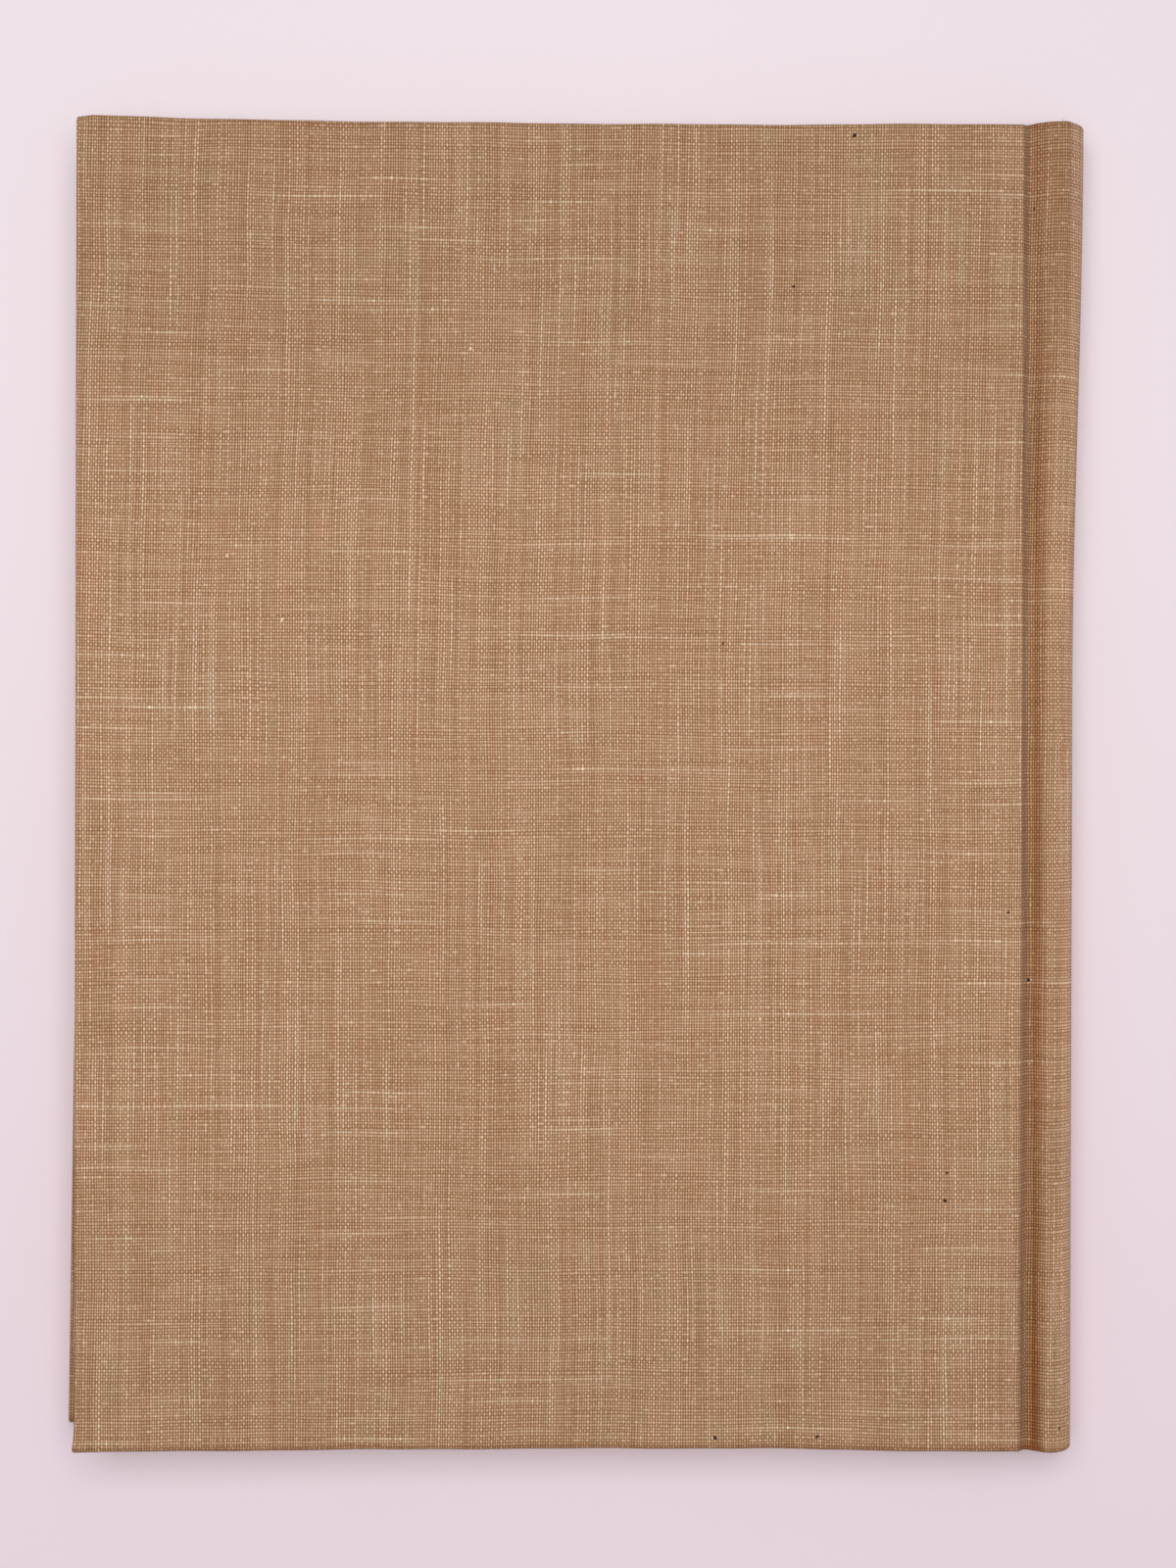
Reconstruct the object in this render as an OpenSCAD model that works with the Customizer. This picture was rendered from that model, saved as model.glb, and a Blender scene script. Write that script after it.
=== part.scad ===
// Cloth-bound hardback book, lying flat on its front cover, back cover up.
// X runs from the fore-edge to the spine, Y from the tail to the head, Z up.
// Inside the modules X is 0 at the shoulders of the spine and Z is 0 at the
// middle leaf, and centred() moves the finished piece to the part's own origin.

/* [Leaves] */
// Width of a leaf, from its fold to its fore-edge
page_w = 208.5; // [150:1:260]
// Height of a leaf
page_h = 280; // [200:1:340]
// Thickness of the sewn stack of leaves
block_t = 8.6; // [6.5:0.1:24]
// How far the cut fore-edge is hollowed
fore_hollow = 1.8; // [0.5:0.1:3]
// Number of folded sections sewn through the spine
section_count = 9; // [4:1:16]
// Radius of the furrow between two section folds
furrow_r = 0.25; // [0.1:0.05:0.4]
// Thickness of an endpaper
paper_t = 0.2; // [0.1:0.05:0.4]

/* [Spine] */
// How far the crown of the round stands beyond the shoulders
spine_round = 3; // [2:0.1:3.4]
// How far each shoulder is backed out over its board
shoulder_rise = 2; // [0.5:0.1:2.4]
// Length of leaf that bends into a shoulder
shoulder_run = 4; // [2:0.1:4.2]
// Thickness of the open-weave mull on the spine
mull_t = 0.25; // [0.15:0.05:0.5]
// Space between the end of a headband's tape and the mull
mull_clear = 1; // [0.5:0.5:10]
// Thickness of the kraft lining over the mull
lining_t = 0.35; // [0.2:0.05:0.6]
// How far the kraft lining stops short of each end of the leaves
lining_short = 2; // [0:0.5:10]
// Width of mull left bare along each edge of the kraft lining
lining_margin = 2; // [1.8:0.1:4]
// Hollow between the kraft lining and the spine inlay
hollow_gap = 1.4; // [1.3:0.1:3]
// Thickness of the card spine inlay
inlay_t = 0.5; // [0.3:0.1:0.8]
// Width of cloth between each edge of the inlay and its joint
inlay_margin = 1.8; // [1.5:0.1:3]

/* [Headbands] */
// Radius of the corded bead
bead_r = 0.75; // [0.5:0.05:1.2]
// Thickness of the tape that carries the bead
band_tape_t = 0.25; // [0.15:0.05:0.5]
// Length of tape glued down the spine
band_tape_l = 10; // [6:1:20]
// Width of the spine left bare beside each end of a band
band_margin = 0.6; // [0.3:0.1:1.5]

/* [Boards] */
// Thickness of a greyboard
board_t = 2.5; // [1.5:0.1:4]
// How far the boards overhang the leaves at head and tail
square_ends = 3; // [1.5:0.5:6]
// How far the boards overhang the leaves at the fore-edge
square_fore = 3; // [1.5:0.5:6]
// Width of the joint, from the shoulder to the back board
joint_w = 6.5; // [6:0.1:9]
// How much wider the front joint was made than the back one
front_joint_extra = 0.6; // [0:0.1:2]
// How far out of square the front board was cased in, in degrees
front_skew = 0.7; // [0:0.1:1.2]
// How far the back board's fore-edge has warped upwards
back_warp = 2.4; // [0:0.1:2.8]
// Width of board that takes the warp
warp_run = 115; // [60:5:140]
// Clearance between a pastedown and the leaf that faces it
leaf_clear = 0.1; // [0.05:0.05:0.5]

/* [Cloth] */
// Thickness of the book cloth
cloth_t = 0.4; // [0.2:0.05:0.6]
// Width of cloth turned in over the edges of a board
turn_in = 15; // [8:1:25]
// Width of the open seam where two turn-ins meet at a corner
mitre_gap = 0.3; // [0.1:0.1:1]
// Length over which the joint cloth drops from the board into the groove
groove_drop = 2.3; // [1.8:0.1:2.6]
// Clearance between the cloth of a joint and that of its cover
joint_clear = 0.1; // [0.05:0.05:0.5]
// Clearance of the joint cloth over the shoulder
ridge_clear = 0.15; // [0.1:0.05:0.5]
// Thickness of the glue under a layer that follows a round
glue_t = 0.05; // [0.03:0.01:0.1]
// How far the head of the hollow spine has been pulled outwards
head_flare = 2.1; // [0:0.1:2.3]
// Length of spine that takes the flare
flare_run = 120; // [60:5:160]

/* [Hidden] */
$fn = 96;
// Room that a cut runs past the face it opens
over = 1;
// Steps of the shoulder's bend, of the warp and of the spine's arc
bend_steps = 6;
warp_steps = 16;
arc_steps = 16;
// Steps of the spine's length below its flare, and over it
plain_steps = 6;
flare_steps = 10;
// Steps of the joint's drop into the groove, and of its rise to the ridge
drop_steps = 6;
rise_steps = 8;

// Heights above the middle leaf, from the leaves outwards
leaf_z = block_t / 2;
endpaper_z = leaf_z + paper_t;
pastedown_z = endpaper_z + leaf_clear;
turn_in_z = pastedown_z + paper_t;
board_z = turn_in_z + cloth_t;
cloth_z = board_z + board_t;
top_z = cloth_z + cloth_t;

// The round of the leaves: half its chord, its radius, its centre, half its angle
tip_z = leaf_z + shoulder_rise;
round_r = (tip_z * tip_z + spine_round * spine_round) / (2 * spine_round);
round_x = spine_round - round_r;
round_a = asin(tip_z / round_r);
hollow_r = (leaf_z * leaf_z + fore_hollow * fore_hollow) / (2 * fore_hollow);

// Outlines of the leaves and of the boards, before the front board's skew
page_x = spine_round - page_w - fore_hollow;
fore_x = page_x - square_fore;
hinge_x = -joint_w;
board_h = page_h + 2 * square_ends;
pan_x = fore_x + turn_in;
pan_h = board_h - 2 * turn_in;
case_h = board_h + 2 * cloth_t;

// The spine of the case: its crown and ridges, outside the cloth
mull_r = round_r + glue_t;
lining_r = mull_r + max(mull_t, band_tape_t) + glue_t;
crown_x = round_x + lining_r + lining_t + hollow_gap + inlay_t + glue_t + cloth_t;
joint_low = paper_t + glue_t;
joint_high = joint_low + lining_t + ridge_clear + cloth_t;
ridge_z = tip_z + joint_high;
ridge_x = cloth_t;
case_rise = crown_x - ridge_x;
case_r = (ridge_z * ridge_z + case_rise * case_rise) / (2 * case_rise);
case_a = asin(ridge_z / case_r);
inlay_depth = cloth_t + glue_t;
inlay_a = case_a - inlay_margin / case_r * 180 / PI;

// The front cover turns in its plane about its joint's head end
front_pivot = [hinge_x - front_joint_extra, board_h / 2, 0];
front_fore = [fore_x - cloth_t - hinge_x, cloth_t];
front_tail = [fore_x - cloth_t - hinge_x, -board_h - cloth_t];

// The finished book's middle, in plan
left_x = front_pivot[0] + front_tail[0] * cos(front_skew) + front_tail[1] * sin(front_skew);
right_x = crown_x + head_flare;
head_y = front_pivot[1] - front_fore[0] * sin(front_skew) + front_fore[1] * cos(front_skew);
tail_y = -case_h / 2;
middle = [(left_x + right_x) / 2, (head_y + tail_y) / 2];

// Height of the leaves' outer face at a place on their width
function leaf_face(x) =
    leaf_z + shoulder_rise * pow(max(0, (x + shoulder_run) / shoulder_run), 2);

// Places where that face changes slope, from a start up to the shoulder
function face_steps(start) =
    concat([start], [for (i = [0:bend_steps]) -shoulder_run * (1 - i / bend_steps)]);

// Warp at a place on the back board, straight between its steps
function warp_at(step) = pow(max(0, step / warp_steps), 2);
function warp_lift(x) =
    let (u = (fore_x + warp_run - x) / warp_run * warp_steps,
         low = floor(u))
    warp_at(low) + (u - low) * (warp_at(low + 1) - warp_at(low));

// A run along the board from one place to another, at a height, with its warp
function board_line(x_from, x_to, z, warp) =
    let (inner = [for (i = [warp_steps:-1:0])
             let (x = fore_x + warp_run * (1 - i / warp_steps))
             if (warp > 0 && x > x_from && x < x_to) x],
         places = concat([x_from], inner, [x_to]))
    [for (x = places) [x, z + warp * warp_lift(x)]];

function reversed(list) = [for (i = [len(list) - 1:-1:0]) list[i]];
function smooth(u) = let (v = min(1, max(0, u))) v * v * (3 - 2 * v);

// How far the spine stands out at a place along its length, straight between steps
function flare_at(y) =
    let (u = (y - board_h / 2 + flare_run) / flare_run * flare_steps,
         low = floor(u),
         a = smooth(low / flare_steps),
         b = smooth((low + 1) / flare_steps))
    head_flare * (a + (u - low) * (b - a));
function spine_places(from, to) =
    let (plain_run = board_h - flare_run,
         plain = [for (i = [1:plain_steps - 1]) plain_run * i / plain_steps - board_h / 2],
         flared = [for (i = [0:flare_steps]) board_h / 2 - flare_run * (1 - i / flare_steps)])
    concat([from], [for (y = concat(plain, flared)) if (y > from && y < to) y], [to]);

// A point of the case's round: an angle from the crown, and a depth under the cloth
function case_point(y, angle, depth) =
    [crown_x - case_r + flare_at(y) + (case_r - depth) * cos(angle), y,
     (case_r - depth) * sin(angle)];
function case_arc(y, half_angle, depth) =
    [for (i = [0:arc_steps]) case_point(y, half_angle * (2 * i / arc_steps - 1), depth)];
function case_ring(y, half_angle, outer, inner) =
    concat(case_arc(y, half_angle, outer), reversed(case_arc(y, half_angle, inner)));

// The edge of a cover at a place along its joint, for the back (1) or front (-1)
function cover_edge(y, side) =
    side > 0 ? hinge_x : front_pivot[0] - tan(front_skew) * (front_pivot[1] - y);

// The outer face of the joint cloth: down into the groove, up over the shoulder
function groove_x(y, side) = min(cover_edge(y, side) + groove_drop, -shoulder_run);
function joint_outer(y, side) =
    let (start = cover_edge(y, side) + joint_clear,
         low = groove_x(y, side),
         low_z = leaf_z + joint_high,
         end = case_point(y, case_a, 0))
    concat([for (i = [0:drop_steps]) let (u = i / drop_steps)
                [start + (low - start) * u, y, top_z + (low_z - top_z) * smooth(u)]],
           [for (i = [1:rise_steps]) let (x = low + (end[0] - low) * i / rise_steps)
                [x, y, low_z + (ridge_z - low_z) * smooth((x - low) / (ridge_x - low))]]);

// Direction of the cloth's thickness at each point of that face
function across(line, i) =
    let (a = line[max(0, i - 1)], b = line[min(len(line) - 1, i + 1)], run = b - a)
    [run[2], 0, -run[0]] / norm(run);
function joint_ring(y, side) =
    let (outer = joint_outer(y, side),
         last = len(outer) - 1,
         inner = [for (i = [0:last])
             i == last ? case_point(y, case_a, cloth_t)
                       : i == 0 ? outer[0] - [0, 0, cloth_t]
                                : outer[i] + cloth_t * across(outer, i)])
    concat(outer, reversed(inner));

// Moves a piece from the book's own lines to the part's origin
module centred() {
    translate([-middle[0], -middle[1], top_z]) children();
}

// Turns a piece built for the back over to the front
module on_front() {
    mirror([0, 0, 1]) children();
}

// Sets a cover, built square for the back, out of square on the front
module cased_in_front() {
    translate(front_pivot)
        rotate([0, 0, -front_skew])
            translate([-hinge_x, -board_h / 2, 0])
                on_front() children();
}

// Extrudes a section drawn in X and Z along the book's height
module along_spine(length) {
    rotate([90, 0, 0])
        linear_extrude(length, center = true) children();
}

// Turns a section of radius and length about the axis of the leaves' round
module round_spine(half_angle) {
    translate([round_x, 0, 0])
        rotate([90, 0, 0])
            rotate([0, 0, -half_angle])
                rotate_extrude(angle = 2 * half_angle) children();
}

// Skins a list of closed rings that have the same number of points
module loft(rings) {
    count = len(rings[0]);
    last = len(rings) - 1;
    points = [for (ring = rings) each ring];
    walls = [for (i = [0:last - 1], j = [0:count - 1])
        let (k = (j + 1) % count)
        each [[i * count + j, i * count + k, (i + 1) * count + k],
              [i * count + j, (i + 1) * count + k, (i + 1) * count + j]]];
    first_cap = [for (j = [count - 1:-1:0]) j];
    last_cap = [for (j = [0:count - 1]) last * count + j];
    polyhedron(points, concat(walls, [first_cap, last_cap]));
}

// A plate of the cover: a range across the board, a range of heights, a length
module plate(x_from, x_to, z_from, z_to, length, warp) {
    along_spine(length)
        polygon(concat(board_line(x_from, x_to, z_from, warp),
                       reversed(board_line(x_from, x_to, z_to, warp))));
}

// A sheet on the leaves' outer face, from the fore-edge to the shoulder
module leaf_sheet(thickness) {
    places = face_steps(page_x);
    along_spine(page_h)
        polygon(concat([for (x = places) [x, leaf_face(x)]],
                       reversed([for (x = places) [x, leaf_face(x) + thickness]])));
}

// The outline of the leaves, with room for their round behind the shoulders
module leaf_stack() {
    face = [for (x = face_steps(page_x)) [x, leaf_face(x)]];
    back_x = spine_round + over / 2;
    polygon(concat(face, [[back_x, tip_z], [back_x, -tip_z]],
                   reversed([for (p = face) [p[0], -p[1]]])));
}

// What lies behind the shoulders, outside the round
module outside_round() {
    difference() {
        translate([0, -tip_z - over]) square([spine_round + over, 2 * (tip_z + over)]);
        translate([round_x, 0]) circle(round_r);
    }
}

// The furrows between the folds of the sections, along the round
module section_furrows() {
    for (i = [1:section_count - 1]) {
        angle = round_a * (2 * i / section_count - 1);
        translate([round_x + round_r * cos(angle), round_r * sin(angle)])
            circle(furrow_r, $fn = 16);
    }
}

// The sewn leaves: rounded and backed at the spine, hollow at the fore-edge
module text_block() {
    color("ivory") centred()
        along_spine(page_h)
            difference() {
                leaf_stack();
                outside_round();
                translate([page_x + fore_hollow - hollow_r, 0]) circle(hollow_r);
                section_furrows();
            }
}

module back_free_endpaper() {
    color("antiquewhite") centred() leaf_sheet(paper_t);
}

module front_free_endpaper() {
    color("antiquewhite") centred() on_front() leaf_sheet(paper_t);
}

// The gauze glued over the section folds between the two headbands' tapes
module spine_mull() {
    color("wheat") centred()
        round_spine(round_a)
            translate([mull_r, -page_h / 2 + band_tape_l + mull_clear])
                square([mull_t, page_h - 2 * (band_tape_l + mull_clear)]);
}

// The kraft paper glued over the mull and the tapes
module spine_lining() {
    color("peru") centred()
        round_spine(round_a - lining_margin / round_r * 180 / PI)
            translate([lining_r, -page_h / 2 + lining_short])
                square([lining_t, page_h - 2 * lining_short]);
}

// A headband: a corded bead on the leaves' ends, with its tape down the spine
module end_band() {
    round_spine(round_a - band_margin / round_r * 180 / PI) {
        translate([mull_r, -page_h / 2 - bead_r])
            square([band_tape_t, band_tape_l + bead_r]);
        translate([mull_r + band_tape_t - bead_r, -page_h / 2 - bead_r])
            circle(bead_r, $fn = 32);
    }
}

module head_band() {
    color("linen") centred() end_band();
}

module tail_band() {
    color("linen") centred() mirror([0, 1, 0]) end_band();
}

// The flexible card that keeps the round of the case
module spine_inlay() {
    color("tan") centred()
        loft([for (y = spine_places(-board_h / 2, board_h / 2))
            case_ring(y, inlay_a, inlay_depth, inlay_depth + inlay_t)]);
}

// The cloth over the inlay, from one ridge to the other
module spine_cloth() {
    color("burlywood") centred()
        loft([for (y = spine_places(-case_h / 2, case_h / 2)) case_ring(y, case_a, 0, cloth_t)]);
}

// The mull and the endpaper's fold, which cross the joint under the cloth
module lining_strip(start) {
    places = face_steps(start + joint_clear);
    along_spine(page_h)
        polygon(concat([for (x = places) [x, leaf_face(x) + joint_low]],
                       reversed([for (x = places) [x, leaf_face(x) + joint_low + lining_t]])));
}

module back_joint_lining() {
    color("wheat") centred() lining_strip(hinge_x);
}

// The room of the front cover, as far as its joint, at its skew
module front_cover_room() {
    translate(front_pivot)
        rotate([0, 0, -front_skew])
            translate([joint_clear - page_w, -board_h - over, 0])
                cube([page_w, board_h + 2 * over, top_z]);
}

module front_joint_lining() {
    color("wheat") centred() on_front()
        difference() {
            lining_strip(cover_edge(-board_h / 2, -1));
            front_cover_room();
        }
}

module back_joint_cloth() {
    color("burlywood") centred()
        loft([for (y = spine_places(-case_h / 2, case_h / 2)) joint_ring(y, 1)]);
}

module front_joint_cloth() {
    color("burlywood") centred() on_front()
        loft([for (y = spine_places(-case_h / 2, case_h / 2)) joint_ring(y, -1)]);
}

// A greyboard
module board(warp) {
    plate(fore_x, hinge_x, board_z, cloth_z, board_h, warp);
}

// The open seam from a corner of the pan to that corner of the board
module mitre_seam(warp) {
    seam = (turn_in - cloth_t) * sqrt(2);
    translate([pan_x, pan_h / 2, turn_in_z - over])
        rotate([0, 0, 135])
            translate([-mitre_gap, -mitre_gap / 2, 0])
                cube([seam + mitre_gap, mitre_gap, cloth_t + warp + over]);
}

// The cloth on a board: over its outer face, round three edges, and turned in
module cover_cloth(warp) {
    difference() {
        plate(fore_x - cloth_t, hinge_x, turn_in_z, top_z, case_h, warp);
        plate(fore_x, hinge_x + over, board_z, cloth_z, board_h, warp);
        plate(pan_x, hinge_x + over, turn_in_z - over, board_z, pan_h, warp);
        mitre_seam(warp);
        mirror([0, 1, 0]) mitre_seam(warp);
    }
}

// The endpaper glued to a board: over the turn-ins, and down on the board
module pastedown(warp) {
    difference() {
        plate(page_x, hinge_x, pastedown_z, board_z, page_h, warp);
        plate(pan_x + paper_t, hinge_x + over, pastedown_z - over, board_z - paper_t,
              pan_h - 2 * paper_t, warp);
        difference() {
            plate(page_x - over, hinge_x + over, turn_in_z, board_z + over,
                  page_h + over, warp);
            plate(pan_x, hinge_x + 2 * over, turn_in_z - over, board_z + 2 * over,
                  pan_h, warp);
        }
    }
}

module back_board() {
    color("gray") centred() board(back_warp);
}

module back_cover_cloth() {
    color("burlywood") centred() cover_cloth(back_warp);
}

module back_pastedown() {
    color("antiquewhite") centred() pastedown(back_warp);
}

module front_board() {
    color("gray") centred() cased_in_front() board(0);
}

module front_cover_cloth() {
    color("burlywood") centred() cased_in_front() cover_cloth(0);
}

module front_pastedown() {
    color("antiquewhite") centred() cased_in_front() pastedown(0);
}

text_block();
front_free_endpaper();
back_free_endpaper();
spine_mull();
spine_lining();
head_band();
tail_band();
spine_inlay();
spine_cloth();
front_joint_lining();
back_joint_lining();
front_joint_cloth();
back_joint_cloth();
front_board();
front_cover_cloth();
front_pastedown();
back_board();
back_cover_cloth();
back_pastedown();
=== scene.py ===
"""Looks of a cloth-bound hardback book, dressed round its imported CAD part.

The book lies on its front cover with its back cover up. Lengths in the classes
are millimetres on the book's own lines: X is 0 at the shoulders of the spine, Y
is 0 half way up the leaves, and Z is 0 at the middle leaf. Frame.place() turns
them into the shared frame, in metres.
"""

import logging
import math
import random
from dataclasses import dataclass, field
from enum import Enum

import bmesh
import bpy
import numpy as np
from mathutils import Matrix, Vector


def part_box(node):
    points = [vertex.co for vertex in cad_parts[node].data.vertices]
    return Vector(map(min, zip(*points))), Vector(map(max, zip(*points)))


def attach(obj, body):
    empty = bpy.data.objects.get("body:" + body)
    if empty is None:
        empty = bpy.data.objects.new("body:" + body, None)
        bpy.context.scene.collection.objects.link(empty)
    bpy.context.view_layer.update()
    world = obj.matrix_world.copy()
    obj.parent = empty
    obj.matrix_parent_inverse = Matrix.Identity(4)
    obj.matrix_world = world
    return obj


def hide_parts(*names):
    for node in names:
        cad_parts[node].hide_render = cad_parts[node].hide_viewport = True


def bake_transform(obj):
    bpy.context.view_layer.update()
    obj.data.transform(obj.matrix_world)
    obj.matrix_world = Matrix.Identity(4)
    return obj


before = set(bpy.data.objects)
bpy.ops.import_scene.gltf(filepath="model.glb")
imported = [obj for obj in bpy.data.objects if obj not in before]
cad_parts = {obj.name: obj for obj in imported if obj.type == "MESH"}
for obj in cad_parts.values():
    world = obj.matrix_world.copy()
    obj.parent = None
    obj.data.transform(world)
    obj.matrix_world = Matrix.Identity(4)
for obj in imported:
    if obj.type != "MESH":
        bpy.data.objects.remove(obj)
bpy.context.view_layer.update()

MM = 0.001
LOG = logging.getLogger("book")


class Side(Enum):
    """A cover of the book, by the way that it faces as the book lies."""

    BACK = 1
    FRONT = -1

    @property
    def word(self) -> str:
        """The name that starts the side's pieces."""
        return self.name.lower()

    @property
    def body(self) -> str:
        """The CAD body of the cover on this side."""
        return f"{self.word}_cover"


BLOCK = "book_block"


def smooth(share: float) -> float:
    """Eases a share from 0 to 1, level at both ends.

    Args:
        share: Any number; below 0 counts as 0 and above 1 as 1.

    Returns:
        The eased share.
    """
    held = min(1.0, max(0.0, share))
    return held * held * (3 - 2 * held)


def bezier(start: tuple, start_pull: tuple, end_pull: tuple, end: tuple, share: float) -> tuple:
    """A point of a cubic curve in the plane.

    Args:
        start: The curve's first point.
        start_pull: Where the curve heads for from its first point.
        end_pull: Where the curve comes from at its last point.
        end: The curve's last point.
        share: How far along the curve, from 0 to 1.

    Returns:
        The point, as x and z.
    """
    rest = 1 - share
    weights = (rest**3, 3 * rest * rest * share, 3 * rest * share * share, share**3)
    points = (start, start_pull, end_pull, end)
    return tuple(sum(w * p[axis] for w, p in zip(weights, points)) for axis in (0, 1))


@dataclass(frozen=True)
class Lines:
    """The book's driving sizes, which repeat those of the part's source."""

    page_w: float = 208.5
    page_h: float = 280.0
    block_t: float = 8.6
    fore_hollow: float = 1.8
    sections: int = 9
    paper_t: float = 0.2
    spine_round: float = 3.0
    shoulder_rise: float = 2.0
    shoulder_run: float = 4.0
    board_t: float = 2.5
    square: float = 3.0
    joint_w: float = 6.5
    front_joint_extra: float = 0.6
    front_skew: float = math.radians(0.7)
    back_warp: float = 2.4
    warp_run: float = 115.0
    leaf_clear: float = 0.1
    cloth_t: float = 0.4
    turn_in: float = 15.0
    groove_drop: float = 2.3
    joint_high: float = 1.15
    ridge_x: float = 0.4
    crown_x: float = 6.05
    head_flare: float = 2.1
    flare_run: float = 120.0

    @property
    def leaf_z(self) -> float:
        """Height of the leaves' outer face."""
        return self.block_t / 2

    @property
    def tip_z(self) -> float:
        """Height of a shoulder."""
        return self.leaf_z + self.shoulder_rise

    @property
    def pastedown_z(self) -> float:
        """Height of a pastedown's inner face."""
        return self.leaf_z + self.paper_t + self.leaf_clear

    @property
    def turn_in_z(self) -> float:
        """Height of a turn-in's inner face."""
        return self.pastedown_z + self.paper_t

    @property
    def board_z(self) -> float:
        """Height of a board's inner face."""
        return self.turn_in_z + self.cloth_t

    @property
    def cloth_z(self) -> float:
        """Height of a board's outer face."""
        return self.board_z + self.board_t

    @property
    def top_z(self) -> float:
        """Height of the cloth's outer face over a board."""
        return self.cloth_z + self.cloth_t

    @property
    def ridge_z(self) -> float:
        """Height of the cloth where it passes over a shoulder."""
        return self.tip_z + self.joint_high

    @property
    def page_x(self) -> float:
        """Place of the leaves' fore-edge."""
        return self.spine_round - self.page_w - self.fore_hollow

    @property
    def fore_x(self) -> float:
        """Place of the boards' fore-edge."""
        return self.page_x - self.square

    @property
    def board_h(self) -> float:
        """Height of a board, from tail to head."""
        return self.page_h + 2 * self.square

    @property
    def case_h(self) -> float:
        """Height of the covered case, from tail to head."""
        return self.board_h + 2 * self.cloth_t

    def hinge_x(self, side: Side) -> float:
        """Place of the board's edge beside the joint, at the head."""
        return -self.joint_w - (self.front_joint_extra if side is Side.FRONT else 0.0)

    def fore_at(self, side: Side) -> float:
        """Place of a board's fore-edge, at the head."""
        return self.fore_x - (self.front_joint_extra if side is Side.FRONT else 0.0)

    def leaf_face(self, x: float) -> float:
        """Height of the leaves' outer face at a place on their width."""
        return self.leaf_z + self.shoulder_rise * max(0.0, 1 + x / self.shoulder_run) ** 2

    def warp_at(self, x: float) -> float:
        """How far the back board has lifted at a place on its width."""
        reach = max(0.0, (self.fore_x + self.warp_run - x) / self.warp_run)
        return self.back_warp * reach * reach

    def flare_at(self, y: float) -> float:
        """How far the spine stands out at a place along its length."""
        return self.head_flare * smooth((y - self.board_h / 2 + self.flare_run) / self.flare_run)


LINES = Lines()


@dataclass(frozen=True)
class Frame:
    """Where the book's own lines lie in the shared frame, read from the CAD."""

    shoulder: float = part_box("back_free_endpaper")[1].x
    middle_y: float = (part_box("text_block")[0].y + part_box("text_block")[1].y) / 2
    middle_z: float = (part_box("text_block")[0].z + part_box("text_block")[1].z) / 2

    def place(self, point: tuple) -> Vector:
        """Turns a point on the book's own lines into the shared frame.

        Args:
            point: x, y and z in millimetres.

        Returns:
            The point in metres.
        """
        x, y, z = point
        return Vector((self.shoulder + x * MM, self.middle_y + y * MM, self.middle_z + z * MM))


FRAME = Frame()


def skewed(point: tuple, start: float, end: float) -> tuple:
    """Turns a point of the front cover out of square, about its joint's head end.

    Args:
        point: x, y and z of the point on a square cover.
        start: x from which the skew begins to take hold.
        end: x from which it holds fully.

    Returns:
        The point where the skewed cover has it.
    """
    x, y, z = point
    angle = -LINES.front_skew * smooth((start - x) / (start - end))
    pivot_x = LINES.hinge_x(Side.FRONT)
    pivot_y = LINES.board_h / 2
    dx, dy = x - pivot_x, y - pivot_y
    turn, lean = math.cos(angle), math.sin(angle)
    return (pivot_x + dx * turn - dy * lean, pivot_y + dx * lean + dy * turn, z)


def linear(hex_colour: str) -> tuple:
    """Turns an sRGB colour into the linear one that a shader takes.

    Args:
        hex_colour: The colour as six hex digits after a hash.

    Returns:
        Red, green, blue and an alpha of 1.
    """
    parts = [int(hex_colour[i : i + 2], 16) / 255 for i in (1, 3, 5)]
    return (*(c / 12.92 if c <= 0.04045 else ((c + 0.055) / 1.055) ** 2.4 for c in parts), 1.0)


def add_node(tree: bpy.types.NodeTree, kind: str, sockets: dict | None = None,
             **settings) -> bpy.types.Node:
    """Adds a node to a tree, with its settings and links.

    Args:
        tree: The tree that takes the node.
        kind: Blender's name for the kind of node.
        sockets: For an input's name or number, its value or the output that feeds it.
        settings: Values of the node's own properties.

    Returns:
        The new node.
    """
    node = tree.nodes.new(kind)
    for name, value in settings.items():
        setattr(node, name, value)
    for name, value in (sockets or {}).items():
        if isinstance(value, bpy.types.NodeSocket):
            tree.links.new(value, node.inputs[name])
        else:
            node.inputs[name].default_value = value
    return node


def new_material(name: str) -> bpy.types.Material:
    """A material whose tree is empty."""
    material = bpy.data.materials.new(name)
    material.use_nodes = True
    material.node_tree.nodes.clear()
    return material


MATH = "ShaderNodeMath"
NOISE = "ShaderNodeTexNoise"
MIX = "ShaderNodeMix"
RANGE = "ShaderNodeMapRange"
VECTOR = "ShaderNodeVectorMath"


def between(tree: bpy.types.NodeTree, share: bpy.types.NodeSocket, low: str,
            high: str) -> bpy.types.NodeSocket:
    """Adds the node that runs from one colour to another.

    Args:
        tree: The material's tree.
        share: How far from the first colour to the second, from 0 to 1.
        low: The colour at 0, in hex.
        high: The colour at 1, in hex.

    Returns:
        The colour that comes out.
    """
    return add_node(tree, MIX, {0: share, 6: linear(low), 7: linear(high)}, data_type="RGBA").outputs[2]


@dataclass(frozen=True)
class Threads:
    """The nodes of one set of parallel threads, whose outputs the weave joins."""

    number: bpy.types.NodeSocket
    wave: bpy.types.NodeSocket
    sign: bpy.types.NodeSocket
    crowned: bpy.types.NodeSocket
    tone: bpy.types.NodeSocket
    slub: bpy.types.NodeSocket


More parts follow.
